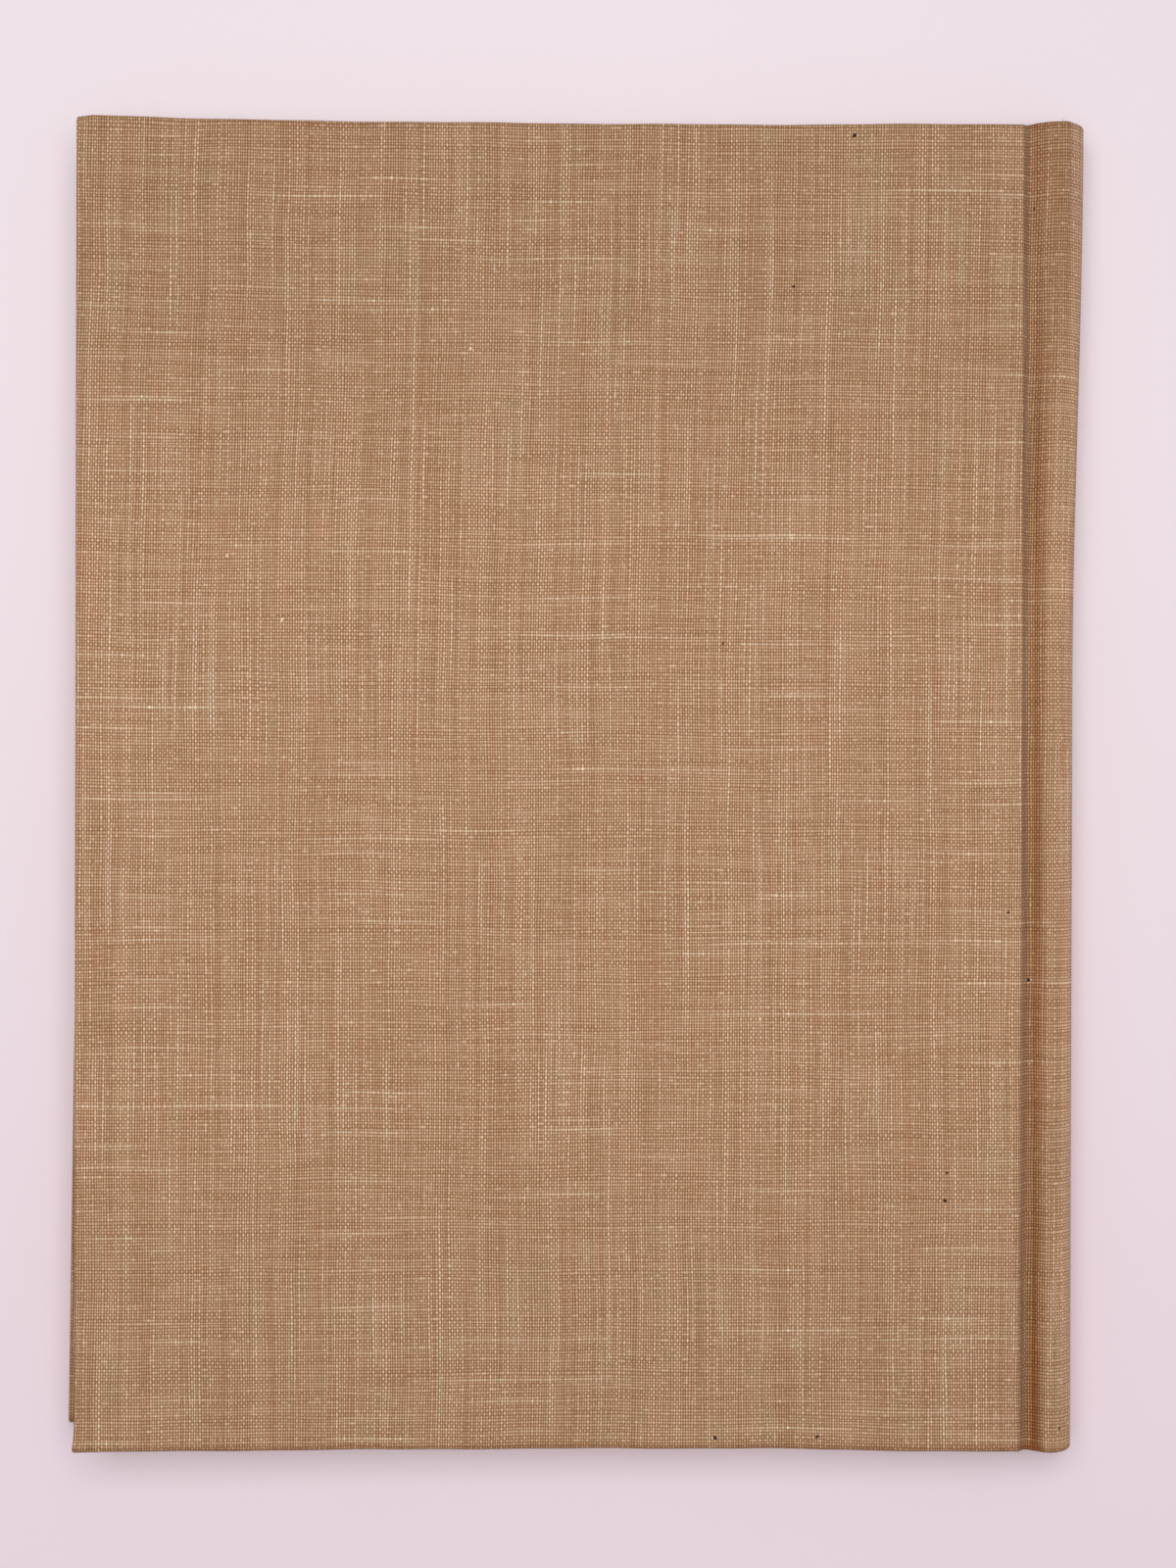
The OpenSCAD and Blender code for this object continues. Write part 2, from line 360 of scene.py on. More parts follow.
@dataclass(frozen=True)
class Yarn:
    """How one set of the cloth's threads is spun.

    Attributes:
        pitch_mm: Distance from thread to thread.
        crown: How peaked a thread is; 1 is a half circle.
        tone_mm: How far a thread keeps its tone.
        level: How pale the threads are, from deep at 0 to pale at 1.
        swing: How far their tone strays from that.
        rare: How seldom a thread turns to a slub, from 0 to 1.
        bright: How pale a slub is, from 0 to 1.
        swell: How much thicker a slub is.
        seed: Number that makes this set's chances its own.
    """

    pitch_mm: float
    crown: float
    tone_mm: float
    level: float
    swing: float
    rare: float
    bright: float
    swell: float
    seed: float


@dataclass(frozen=True)
class BookLinen:
    """Natural flax book cloth, woven plain and backed with paper.

    Undyed flax is a matt straw brown. Its yarn is spun unevenly, so single
    threads run pale for a few centimetres and carry bright lumps. Painted shade
    darkens the gaps between threads, so the thread tops stay lighter. The warp
    runs from tail to head, at 18 threads a centimetre, and the weft has 15. The
    joints are darker, partly as ironed-in colour and partly as painted shade.
    The spine and the boards' edges at the joints carry a painted highlight, the
    head and tail ends a painted shade, and the cloth is darker along its edges,
    most at the tail, where that is painted shade.

    Attributes:
        warp: The yarn that runs from tail to head.
        weft: The yarn that runs from the spine to the fore-edge.
        lane_gap: How far apart two threads lie in the noise that they share.
        tone_noise: Noise values between which a thread's tone swings.
        slub_mm: How far one slub runs.
        slub_ease: How much the noise rises while a slub comes up.
        lump_mm: How long a lump of yarn is.
        lump_noise: Noise values between which a lump comes up.
        lump_bright: How pale a lump is, from 0 to 1.
        lift: How far a thread rises over the ones that it crosses.
        drift_mm: Distance over which whole stretches of threads lean.
        drift_threads: How far they lean, in threads.
        wander_mm: Distance over which single threads stray.
        wander_width: How many threads stray together.
        wander_threads: How far they stray, in threads.
        weft_shade: How bright the weft is beside the warp: painted shade, as the weft lies deeper.
        crossing_tone: How much one crossing's tone differs from the next.
        mottle_mm: Width and length of the faint streaks of hue.
        mottle_noise: Noise values between which the hue turns.
        filled: Heights over which the colour runs from painted shade in the gaps to the full yarn on the
            thread tops.
        bump_mm: How deep the weave's relief is.
    """

    warp: Yarn = Yarn(0.547, 2.5, 90.0, 1.0, 0.74, 0.68, 0.6, 0.9, 3.1)
    weft: Yarn = Yarn(0.66, 0.9, 20.0, 0.8, 0.46, 0.745, 0.46, 0.45, 8.7)
    lane_gap: float = 17.3
    tone_noise: tuple = (0.3, 0.7)
    slub_mm: float = 46.0
    slub_ease: float = 0.11
    lump_mm: float = 1.5
    lump_noise: tuple = (0.74, 0.86)
    lump_bright: float = 0.5
    lift: float = 0.63
    drift_mm: float = 34.0
    drift_threads: float = 1.3
    wander_mm: float = 20.0
    wander_width: float = 2.6
    wander_threads: float = 0.6
    weft_shade: float = 0.74
    crossing_tone: float = 0.22
    mottle_mm: tuple = (2.4, 30.0)
    mottle_noise: tuple = (0.35, 0.65)
    filled: tuple = (0.1, 1.66)
    bump_mm: float = 0.12
    # colour of the painted shade in the gaps between threads
    gap: str = "#5c2c00"
    deep: str = "#d6a27b"
    pale: str = "#f8caa5"
    slub: str = "#fee3c4"
    rosy: str = "#fffaf4"
    straw: str = "#fafcf3"
    # tint of the joints' darkening: partly ironed-in colour, partly painted shade
    ironed_and_shade: str = "#bf9a66"
    # painted light: how far the second UV map pales the cloth, or darkens it as painted shade below nought
    painted_light: float = 0.14
    roughness: float = 0.88

    def threads(self, tree: bpy.types.NodeTree, across: bpy.types.NodeSocket,
                along: bpy.types.NodeSocket, yarn: Yarn) -> Threads:
        """Adds the nodes of one set of parallel threads.

        Args:
            tree: The material's tree.
            across: Place across the threads, in threads.
            along: Place along the threads, in millimetres.
            yarn: How the threads are spun.

        Returns:
            The outputs that the weave joins.
        """
        number = add_node(tree, MATH, {0: across}, operation="FLOOR").outputs[0]
        turn = add_node(tree, MATH, {0: across, 1: math.pi}, operation="MULTIPLY").outputs[0]
        wave = add_node(tree, MATH, {0: turn}, operation="SINE").outputs[0]
        half_turns = add_node(tree, MATH, {0: number, 1: math.pi}, operation="MULTIPLY").outputs[0]
        sign = add_node(tree, MATH, {0: half_turns}, operation="COSINE").outputs[0]
        bulk = add_node(tree, MATH, {0: wave}, operation="ABSOLUTE").outputs[0]
        crowned = add_node(tree, MATH, {0: bulk, 1: yarn.crown}, operation="POWER").outputs[0]
        lane = add_node(tree, MATH, {0: number, 1: self.lane_gap, 2: yarn.seed},
                        operation="MULTIPLY_ADD").outputs[0]
        noises = []
        for length, detail in ((yarn.tone_mm, 1.0), (self.slub_mm, 0.0), (self.lump_mm, 0.0)):
            step = add_node(tree, MATH, {0: along, 1: 1 / length, 2: length},
                            operation="MULTIPLY_ADD").outputs[0]
            spot = add_node(tree, "ShaderNodeCombineXYZ", {0: lane, 1: step}).outputs[0]
            noises.append(add_node(tree, NOISE, {"Vector": spot, "Scale": 1.0, "Detail": detail},
                                   noise_dimensions="2D").outputs[0])
        low, high = self.tone_noise
        tone = add_node(tree, RANGE, {0: noises[0], 1: low, 2: high, 3: yarn.level - yarn.swing,
                                      4: yarn.level + yarn.swing}).outputs[0]
        run = add_node(tree, RANGE, {0: noises[1], 1: yarn.rare, 2: yarn.rare + self.slub_ease,
                                     3: 0.0, 4: yarn.bright},
                       interpolation_type="SMOOTHSTEP").outputs[0]
        low, high = self.lump_noise
        lump = add_node(tree, RANGE, {0: noises[2], 1: low, 2: high, 3: 0.0, 4: self.lump_bright},
                        interpolation_type="SMOOTHSTEP").outputs[0]
        slub = add_node(tree, MATH, {0: run, 1: lump}, operation="ADD", use_clamp=True).outputs[0]
        return Threads(number, wave, sign, crowned, tone, slub)

    def laid(self, tree: bpy.types.NodeTree, flat: bpy.types.NodeSocket) -> tuple:
        """Lays the warp and the weft, which drift and wander a little.

        Args:
            tree: The material's tree.
            flat: Place on the flat cloth, in millimetres.

        Returns:
            The threads of the warp and those of the weft.
        """
        place = add_node(tree, "ShaderNodeSeparateXYZ", {0: flat})
        drift = add_node(tree, NOISE, {"Vector": flat, "Scale": 1 / self.drift_mm, "Detail": 1.0},
                         noise_dimensions="2D")
        drifts = add_node(tree, "ShaderNodeSeparateColor", {0: drift.outputs[1]})
        sets = []
        for axis, yarn in enumerate((self.warp, self.weft)):
            pushed = add_node(tree, MATH, {0: drifts.outputs[axis], 1: self.drift_threads},
                              operation="MULTIPLY")
            narrow = [1 / (self.wander_width * yarn.pitch_mm), 1 / self.wander_mm]
            spread = (*(narrow if axis == 0 else reversed(narrow)), 0.0)
            spot = add_node(tree, VECTOR, {0: flat, 1: spread}, operation="MULTIPLY").outputs[0]
            wander = add_node(tree, NOISE, {"Vector": spot, "Scale": 1.0, "Detail": 0.0},
                              noise_dimensions="2D").outputs[0]
            swayed = add_node(tree, MATH, {0: wander, 1: self.wander_threads, 2: pushed.outputs[0]},
                              operation="MULTIPLY_ADD").outputs[0]
            across = add_node(tree, MATH, {0: place.outputs[axis], 1: 1 / yarn.pitch_mm, 2: swayed},
                              operation="MULTIPLY_ADD").outputs[0]
            sets.append(self.threads(tree, across, place.outputs[1 - axis], yarn))
        return tuple(sets)

    def woven(self, tree: bpy.types.NodeTree, warp: Threads, weft: Threads) -> tuple:
        """Weaves the threads plain: each goes over one thread and under the next.

        Args:
            tree: The material's tree.
            warp: The threads of the warp.
            weft: The threads of the weft.

        Returns:
            The cloth's height, and 1 where the warp is on top or else 0.
        """
        warp_lift = add_node(tree, MATH, {0: warp.sign, 1: weft.wave}, operation="MULTIPLY").outputs[0]
        weft_dip = add_node(tree, MATH, {0: weft.sign, 1: warp.wave}, operation="MULTIPLY").outputs[0]
        weft_lift = add_node(tree, MATH, {0: weft_dip, 1: -1.0}, operation="MULTIPLY").outputs[0]
        tops = []
        for lift, thread, yarn in ((warp_lift, warp, self.warp), (weft_lift, weft, self.weft)):
            full = add_node(tree, MATH, {0: thread.slub, 1: yarn.swell, 2: 1.0},
                            operation="MULTIPLY_ADD").outputs[0]
            body = add_node(tree, MATH, {0: thread.crowned, 1: full}, operation="MULTIPLY").outputs[0]
            top = add_node(tree, MATH, {0: lift, 1: self.lift, 2: body}, operation="MULTIPLY_ADD")
            tops.append(top.outputs[0])
        height = add_node(tree, MATH, {0: tops[0], 1: tops[1]}, operation="MAXIMUM").outputs[0]
        warp_over = add_node(tree, MATH, {0: tops[0], 1: tops[1]}, operation="GREATER_THAN").outputs[0]
        return height, warp_over

    def painted_light_and_ironing(self, tree: bpy.types.NodeTree, colour: bpy.types.NodeSocket) -> bpy.types.NodeSocket:
        """Darkens the cloth in the joints, partly as ironed-in colour and partly as painted shade, darkens
        it along its edges, and adds painted highlight and painted shade from the second UV map.

        Args:
            tree: The material's tree.
            colour: The new cloth's colour.

        Returns:
            The worn cloth's colour.
        """
        shade_and_wear = add_node(tree, "ShaderNodeUVMap", uv_map="shade_and_wear").outputs[0]
        parts = add_node(tree, "ShaderNodeSeparateXYZ", {0: shade_and_wear})
        ironed = add_node(tree, VECTOR, {0: colour, 1: linear(self.ironed_and_shade)[:3]},
                          operation="MULTIPLY").outputs[0]
        dark = add_node(tree, MIX, {0: parts.outputs[0], 6: colour, 7: ironed},
                        data_type="RGBA").outputs[2]
        # painted highlight, and painted shade below nought
        lit_share = add_node(tree, MATH, {0: parts.outputs[1], 1: self.painted_light, 2: 1.0},
                       operation="MULTIPLY_ADD").outputs[0]
        return add_node(tree, VECTOR, {0: dark, 3: lit_share}, operation="SCALE").outputs[0]

    def build(self) -> bpy.types.Material:
        """Makes the cloth's material."""
        material = new_material("flax_book_cloth")
        tree = material.node_tree
        flat = add_node(tree, "ShaderNodeUVMap", uv_map="flat").outputs[0]
        warp, weft = self.laid(tree, flat)
        height, warp_over = self.woven(tree, warp, weft)
        tone = add_node(tree, MIX, {0: warp_over, 2: weft.tone, 3: warp.tone}).outputs[0]
        slub = add_node(tree, MIX, {0: warp_over, 2: weft.slub, 3: warp.slub}).outputs[0]
        crossing = add_node(tree, "ShaderNodeCombineXYZ", {0: warp.number, 1: weft.number}).outputs[0]
        chance = add_node(tree, "ShaderNodeTexWhiteNoise", {"Vector": crossing},
                          noise_dimensions="2D").outputs[0]
        own = add_node(tree, RANGE, {0: chance, 3: -self.crossing_tone,
                                     4: self.crossing_tone}).outputs[0]
        share = add_node(tree, MATH, {0: tone, 1: own}, operation="ADD").outputs[0]
        spun = add_node(tree, MIX, {0: share, 6: linear(self.deep), 7: linear(self.pale)},
                        data_type="RGBA", clamp_factor=False).outputs[2]
        # painted shade on the weft, which lies deeper than the warp
        shade = add_node(tree, RANGE, {0: warp_over, 3: self.weft_shade, 4: 1.0}).outputs[0]
        shaded = add_node(tree, VECTOR, {0: spun, 3: shade}, operation="SCALE").outputs[0]
        streaks = add_node(tree, VECTOR, {0: flat, 1: (*[1 / mm for mm in self.mottle_mm], 0.0)},
                           operation="MULTIPLY").outputs[0]
        hue = add_node(tree, NOISE, {"Vector": streaks, "Scale": 1.0, "Detail": 2.0},
                       noise_dimensions="2D").outputs[0]
        low, high = self.mottle_noise
        hue_share = add_node(tree, RANGE, {0: hue, 1: low, 2: high}).outputs[0]
        patch = between(tree, hue_share, self.straw, self.rosy)
        toned = add_node(tree, VECTOR, {0: shaded, 1: patch}, operation="MULTIPLY").outputs[0]
        slubbed = add_node(tree, MIX, {0: slub, 6: toned, 7: linear(self.slub)},
                           data_type="RGBA").outputs[2]
        # painted shade: the lower the weave, the more of the dark gap colour, so the thread tops stay
        # lighter
        low, high = self.filled
        lit_height = add_node(tree, RANGE, {0: height, 1: low, 2: high}).outputs[0]
        colour = add_node(tree, MIX, {0: lit_height, 6: linear(self.gap), 7: slubbed},
                          data_type="RGBA").outputs[2]
        bump = add_node(tree, "ShaderNodeBump",
                        {"Height": height, "Strength": 0.7, "Distance": self.bump_mm * MM})
        shader = add_node(tree, "ShaderNodeBsdfPrincipled",
                          {"Base Color": self.painted_light_and_ironing(tree, colour), "Roughness": self.roughness,
                           "Normal": bump.outputs[0], "Specular IOR Level": 0.25,
                           "Sheen Weight": 0.08, "Sheen Roughness": 0.5})
        add_node(tree, "ShaderNodeOutputMaterial", {"Surface": shader.outputs[0]})
        return material


def millimetres(tree: bpy.types.NodeTree) -> bpy.types.NodeSocket:
    """Adds the nodes that give a place on a piece in millimetres."""
    place = add_node(tree, "ShaderNodeTexCoord").outputs["Object"]
    return add_node(tree, VECTOR, {0: place, 3: 1 / MM}, operation="SCALE").outputs[0]


@dataclass(frozen=True)
class WovePaper:
    """Uncoated wove paper, made of beaten wood and cotton pulp on a fine wire.

    It is matt, its fibres lie in soft clouds, and light has toned it towards
    brown in wide stains and in specks that stand about a centimetre apart.

    Attributes:
        name: The material's name.
        clean: Colour of the sheet where it is least toned.
        toned: Colour of the stains.
        foxed: Colour of the specks.
        cloud_mm: Size of the clouds of fibre.
        stains_a_mm: Stains to a millimetre.
        specks_a_mm: Specks to a millimetre.
        felt_mm: Size of the felt's mark, which is the relief.
        roughness: Roughness of the sheet.
    """

    name: str
    clean: str
    toned: str
    foxed: str = "#a9835a"
    cloud_mm: float = 3.5
    stains_a_mm: float = 0.011
    specks_a_mm: float = 0.11
    felt_mm: float = 0.7
    roughness: float = 0.92

    def build(self) -> bpy.types.Material:
        """Makes the paper's material."""
        material = new_material(self.name)
        tree = material.node_tree
        place = millimetres(tree)
        scales = ((1 / self.cloud_mm, 4.0), (self.stains_a_mm, 2.0), (1 / self.felt_mm, 2.0))
        cloud, stain, felt = (
            add_node(tree, NOISE, {"Vector": place, "Scale": scale, "Detail": detail}).outputs[0]
            for scale, detail in scales)
        aged = add_node(tree, MATH, {0: cloud, 1: 0.8, 2: stain}, operation="MULTIPLY_ADD").outputs[0]
        share = add_node(tree, RANGE, {0: aged, 1: 0.6, 2: 1.2}).outputs[0]
        colour = between(tree, share, self.clean, self.toned)
        spots = add_node(tree, "ShaderNodeTexVoronoi",
                         {"Vector": place, "Scale": self.specks_a_mm, "Randomness": 1.0}).outputs[0]
        speck = add_node(tree, RANGE, {0: spots, 1: 0.05, 2: 0.09, 3: 0.45, 4: 0.0}).outputs[0]
        foxed = add_node(tree, MIX, {0: speck, 6: colour, 7: linear(self.foxed)},
                         data_type="RGBA").outputs[2]
        bump = add_node(tree, "ShaderNodeBump", {"Height": felt, "Strength": 0.35, "Distance": 0.05 * MM})
        shader = add_node(tree, "ShaderNodeBsdfPrincipled",
                          {"Base Color": foxed, "Roughness": self.roughness, "Normal": bump.outputs[0],
                           "Specular IOR Level": 0.3})
        add_node(tree, "ShaderNodeOutputMaterial", {"Surface": shader.outputs[0]})
        return material


@dataclass(frozen=True)
class CutPaper:
    """The cut edges of uncoated leaves, trimmed with a guillotine.

    Each leaf's edge takes dust and light by itself, so the block is streaked
    along its leaves. A leaf is 0.12 mm, too fine to show, so the streaks run
    over three leaves.
    """

    streak_mm: float = 0.36
    clean: str = "#ece2cc"
    toned: str = "#c9b38d"
    roughness: float = 0.95

    def build(self) -> bpy.types.Material:
        """Makes the edges' material."""
        material = new_material("cut_book_paper")
        tree = material.node_tree
        place = millimetres(tree)
        streaks = add_node(tree, VECTOR, {0: place, 1: (0.03, 0.03, 1 / self.streak_mm)},
                           operation="MULTIPLY").outputs[0]
        leaf = add_node(tree, NOISE, {"Vector": streaks, "Scale": 1.0, "Detail": 3.0}).outputs[0]
        dust = add_node(tree, NOISE, {"Vector": place, "Scale": 0.05, "Detail": 4.0}).outputs[0]
        aged = add_node(tree, MATH, {0: dust, 1: 0.6, 2: leaf}, operation="MULTIPLY_ADD").outputs[0]
        share = add_node(tree, RANGE, {0: aged, 1: 0.55, 2: 1.05}).outputs[0]
        colour = between(tree, share, self.clean, self.toned)
        bump = add_node(tree, "ShaderNodeBump", {"Height": leaf, "Strength": 0.5, "Distance": 0.08 * MM})
        shader = add_node(tree, "ShaderNodeBsdfPrincipled",
                          {"Base Color": colour, "Roughness": self.roughness, "Normal": bump.outputs[0],
                           "Specular IOR Level": 0.25})
        add_node(tree, "ShaderNodeOutputMaterial", {"Surface": shader.outputs[0]})
        return material


@dataclass(frozen=True)
class PulpBoard:
    """Grey millboard, rolled from waste paper.

    It is a dull grey brown with scraps of paler and darker paper in it.

    Attributes:
        name: The material's name.
        ground: Colour of the darker pulp.
        pale: Colour of the paler pulp.
        scrap: Colour of the dark scraps.
        pulp_mm: Size of the lumps of pulp.
        scraps_a_mm: Scraps to a millimetre.
        roughness: Roughness of the board.
    """

    name: str = "grey_millboard"
    ground: str = "#8b8479"
    pale: str = "#aca596"
    scrap: str = "#4f4a44"
    pulp_mm: float = 1.4
    scraps_a_mm: float = 0.6
    roughness: float = 0.95

    def build(self) -> bpy.types.Material:
        """Makes the board's material."""
        material = new_material(self.name)
        tree = material.node_tree
        place = millimetres(tree)
        pulp = add_node(tree, NOISE, {"Vector": place, "Scale": 1 / self.pulp_mm, "Detail": 5.0}).outputs[0]
        share = add_node(tree, RANGE, {0: pulp, 1: 0.35, 2: 0.7}).outputs[0]
        colour = between(tree, share, self.ground, self.pale)
        cells = add_node(tree, "ShaderNodeTexVoronoi",
                         {"Vector": place, "Scale": self.scraps_a_mm, "Randomness": 1.0}).outputs[0]
        scraps = add_node(tree, RANGE, {0: cells, 1: 0.1, 2: 0.16, 3: 0.7, 4: 0.0}).outputs[0]
        flecked = add_node(tree, MIX, {0: scraps, 6: colour, 7: linear(self.scrap)},
                           data_type="RGBA").outputs[2]
        bump = add_node(tree, "ShaderNodeBump", {"Height": pulp, "Strength": 0.5, "Distance": 0.1 * MM})
        shader = add_node(tree, "ShaderNodeBsdfPrincipled",
                          {"Base Color": flecked, "Roughness": self.roughness, "Normal": bump.outputs[0]})
        add_node(tree, "ShaderNodeOutputMaterial", {"Surface": shader.outputs[0]})
        return material


@dataclass(frozen=True)
class KraftPaper:
    """Unbleached sulphate paper, with long brown fibres along the machine.

    The fibres show as fine streaks, and the glue behind darkens it in places.
    """

    pale: str = "#b58e62"
    deep: str = "#8a6540"
    fibre_mm: float = 0.5
    roughness: float = 0.8

    def build(self) -> bpy.types.Material:
        """Makes the paper's material."""
        material = new_material("brown_kraft_paper")
        tree = material.node_tree
        place = millimetres(tree)
        drawn = add_node(tree, VECTOR, {0: place, 1: (1.0, 0.12, 1.0)},
                         operation="MULTIPLY").outputs[0]
        fibre = add_node(tree, NOISE,
                         {"Vector": drawn, "Scale": 1 / self.fibre_mm, "Detail": 3.0}).outputs[0]
        glue = add_node(tree, NOISE, {"Vector": place, "Scale": 0.07, "Detail": 2.0}).outputs[0]
        both = add_node(tree, MATH, {0: glue, 1: 0.8, 2: fibre}, operation="MULTIPLY_ADD").outputs[0]
        share = add_node(tree, RANGE, {0: both, 1: 0.65, 2: 1.15}).outputs[0]
        colour = between(tree, share, self.pale, self.deep)
        bump = add_node(tree, "ShaderNodeBump", {"Height": fibre, "Strength": 0.4, "Distance": 0.05 * MM})
        shader = add_node(tree, "ShaderNodeBsdfPrincipled",
                          {"Base Color": colour, "Roughness": self.roughness, "Normal": bump.outputs[0]})
        add_node(tree, "ShaderNodeOutputMaterial", {"Surface": shader.outputs[0]})
        return material


@dataclass(frozen=True)
class CottonThread:
    """Cotton, bleached or not, either spun into cord or woven to open gauze.

    It is matt and creamy, with fine turns of its yarn, and starch or glue has
    yellowed it in the hollows.
    """

    name: str
    pale: str
    deep: str
    yarn_mm: tuple
    roughness: float = 0.9

    def build(self) -> bpy.types.Material:
        """Makes the cotton's material."""
        material = new_material(self.name)
        tree = material.node_tree
        place = millimetres(tree)
        drawn = add_node(tree, VECTOR, {0: place, 1: [math.pi / mm for mm in self.yarn_mm]},
                         operation="MULTIPLY").outputs[0]
        parts = add_node(tree, "ShaderNodeSeparateXYZ", {0: drawn})
        yarns = [add_node(tree, MATH, {0: parts.outputs[axis]}, operation="SINE").outputs[0]
                 for axis in (0, 1, 2)]
        crossed = add_node(tree, MATH, {0: yarns[1], 1: yarns[2]}, operation="MULTIPLY").outputs[0]
        turns = add_node(tree, MATH, {0: crossed, 1: yarns[0]}, operation="ADD").outputs[0]
        fluff = add_node(tree, NOISE, {"Vector": place, "Scale": 2.2, "Detail": 3.0}).outputs[0]
        both = add_node(tree, MATH, {0: fluff, 1: 1.6, 2: turns}, operation="MULTIPLY_ADD").outputs[0]
        share = add_node(tree, RANGE, {0: both, 1: 0.0, 2: 1.7}).outputs[0]
        colour = between(tree, share, self.deep, self.pale)
        bump = add_node(tree, "ShaderNodeBump", {"Height": both, "Strength": 0.5, "Distance": 0.06 * MM})
        shader = add_node(tree, "ShaderNodeBsdfPrincipled",
                          {"Base Color": colour, "Roughness": self.roughness, "Normal": bump.outputs[0],
                           "Specular IOR Level": 0.25, "Sheen Weight": 0.1})
        add_node(tree, "ShaderNodeOutputMaterial", {"Surface": shader.outputs[0]})
        return material


@dataclass(frozen=True)
class PlantScrap:
    """A bit of the flax plant: combed fibre, or the husk that combing missed.

    Fibre is pale and faintly silky. Husk is a flat dark brown flake.
    """

    name: str
    pale: str
    deep: str
    roughness: float

    def build(self) -> bpy.types.Material:
        """Makes the scrap's material."""
        material = new_material(self.name)
        tree = material.node_tree
        place = millimetres(tree)
        grain = add_node(tree, NOISE, {"Vector": place, "Scale": 3.0, "Detail": 3.0}).outputs[0]
        share = add_node(tree, RANGE, {0: grain, 1: 0.35, 2: 0.65}).outputs[0]
        colour = between(tree, share, self.deep, self.pale)
        bump = add_node(tree, "ShaderNodeBump", {"Height": grain, "Strength": 0.4, "Distance": 0.04 * MM})
        shader = add_node(tree, "ShaderNodeBsdfPrincipled",
                          {"Base Color": colour, "Roughness": self.roughness, "Normal": bump.outputs[0]})
        add_node(tree, "ShaderNodeOutputMaterial", {"Surface": shader.outputs[0]})
        return material


@dataclass
class Finishes:
    """Every finish of the book, each made once."""

    linen: bpy.types.Material = field(default_factory=BookLinen().build)
    endpaper: bpy.types.Material = field(
        default_factory=WovePaper("wove_endpaper", "#ede4d0", "#e2d4b6").build)
    leaves: bpy.types.Material = field(default_factory=CutPaper().build)
    board: bpy.types.Material = field(default_factory=PulpBoard().build)
    kraft: bpy.types.Material = field(default_factory=KraftPaper().build)
    mull: bpy.types.Material = field(
        default_factory=CottonThread("cotton_mull", "#e9dfc8", "#b9a17a", (40.0, 1.1, 1.1)).build)
    cord: bpy.types.Material = field(
        default_factory=CottonThread("headband_cotton", "#efe6d2", "#cdbb98", (0.35, 0.35, 0.5)).build)
    cord_dyed: bpy.types.Material = field(
        default_factory=CottonThread("headband_cotton_dyed", "#a98258", "#7c5b3a", (0.35, 0.35, 0.5)).build)
    fibre: bpy.types.Material = field(
        default_factory=PlantScrap("combed_flax", "#fbe6c8", "#dcb98d", 0.7).build)
    husk: bpy.types.Material = field(
        default_factory=PlantScrap("flax_husk", "#3d2312", "#1a0e07", 0.85).build)


@dataclass
class Surface:
    """A mesh in the making: its points and faces, each point's flat place, and its shares of darkening
    (ironed-in colour and painted shade) and of painted light.
    """

    points: list = field(default_factory=list)
    faces: list = field(default_factory=list)
    flat: list = field(default_factory=list)
    shade_and_wear: list = field(default_factory=list)

    def point(self, place: tuple, flat: tuple = (0.0, 0.0), shade_and_wear: tuple = (0.0, 0.0)) -> int:
        """Adds a point, and says its number."""
        self.points.append(place)
        self.flat.append(flat)
        self.shade_and_wear.append(shade_and_wear)
        return len(self.points) - 1

    def band(self, first: list, second: list, closed: bool = False) -> None:
        """Joins two rows of equally many points with faces, round to the start if closed."""
        count = len(first)
        for i in range(count if closed else count - 1):
            after = (i + 1) % count
            self.faces.append((first[i], first[after], second[after], second[i]))

    def skin(self, rows: list) -> None:
        """Joins each row to the next with faces."""
        for first, second in zip(rows, rows[1:]):
            self.band(first, second)

    def rod(self, rings: list) -> None:
        """Joins closed rings of points to a rod, and closes its two ends."""
        for first, second in zip(rings, rings[1:]):
            self.band(first, second, closed=True)
        self.faces += [tuple(reversed(rings[0])), tuple(rings[-1])]

    def piece(self, name: str, flipped: bool = False) -> bpy.types.Object:
        """Makes the object, with its flat place as the UV map "flat" and its darkening and painted light as
        a second UV map.

        Args:
            name: Name of the piece.
            flipped: Whether the faces' order is turned round.

        Returns:
            The new object, linked to the scene.
        """
        faces = [tuple(reversed(f)) for f in self.faces] if flipped else self.faces
        mesh = bpy.data.meshes.new(name)
        mesh.from_pydata([FRAME.place(p) for p in self.points], [], faces)
        corners = np.zeros(len(mesh.loops), np.int32)
        mesh.loops.foreach_get("vertex_index", corners)
        for map_name, values in (("flat", self.flat), ("shade_and_wear", self.shade_and_wear)):
            layer = mesh.uv_layers.new(name=map_name)
            layer.uv.foreach_set("vector", np.array(values, np.float32)[corners].ravel())
        mesh.shade_smooth()
        made = bpy.data.objects.new(name, mesh)
        bpy.context.scene.collection.objects.link(made)
        return made


def bend_over_joint(piece: bpy.types.Object, side: Side, start: float, end: float) -> None:
    """Bakes a sheet's place into its mesh; nothing here makes it bend with its cover.

    Args:
        piece: The sheet.
        side: The cover that it crosses to.
        start: x at which it stops following the leaves.
        end: x from which it follows the cover.
    """
    near, far = FRAME.place((start, 0, 0)), FRAME.place((end, 0, 0))
    if side is Side.BACK:
        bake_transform(piece)
    else:
        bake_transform(piece)


def welded(piece: bpy.types.Object) -> bpy.types.Object:
    """Joins the points of a piece that lie on each other, and drops faces without area."""
    work = bmesh.new()
    work.from_mesh(piece.data)
    bmesh.ops.remove_doubles(work, verts=work.verts, dist=0.01 * MM)
    bmesh.ops.dissolve_degenerate(work, edges=work.edges, dist=0.005 * MM)
    work.to_mesh(piece.data)
    work.free()
    return piece


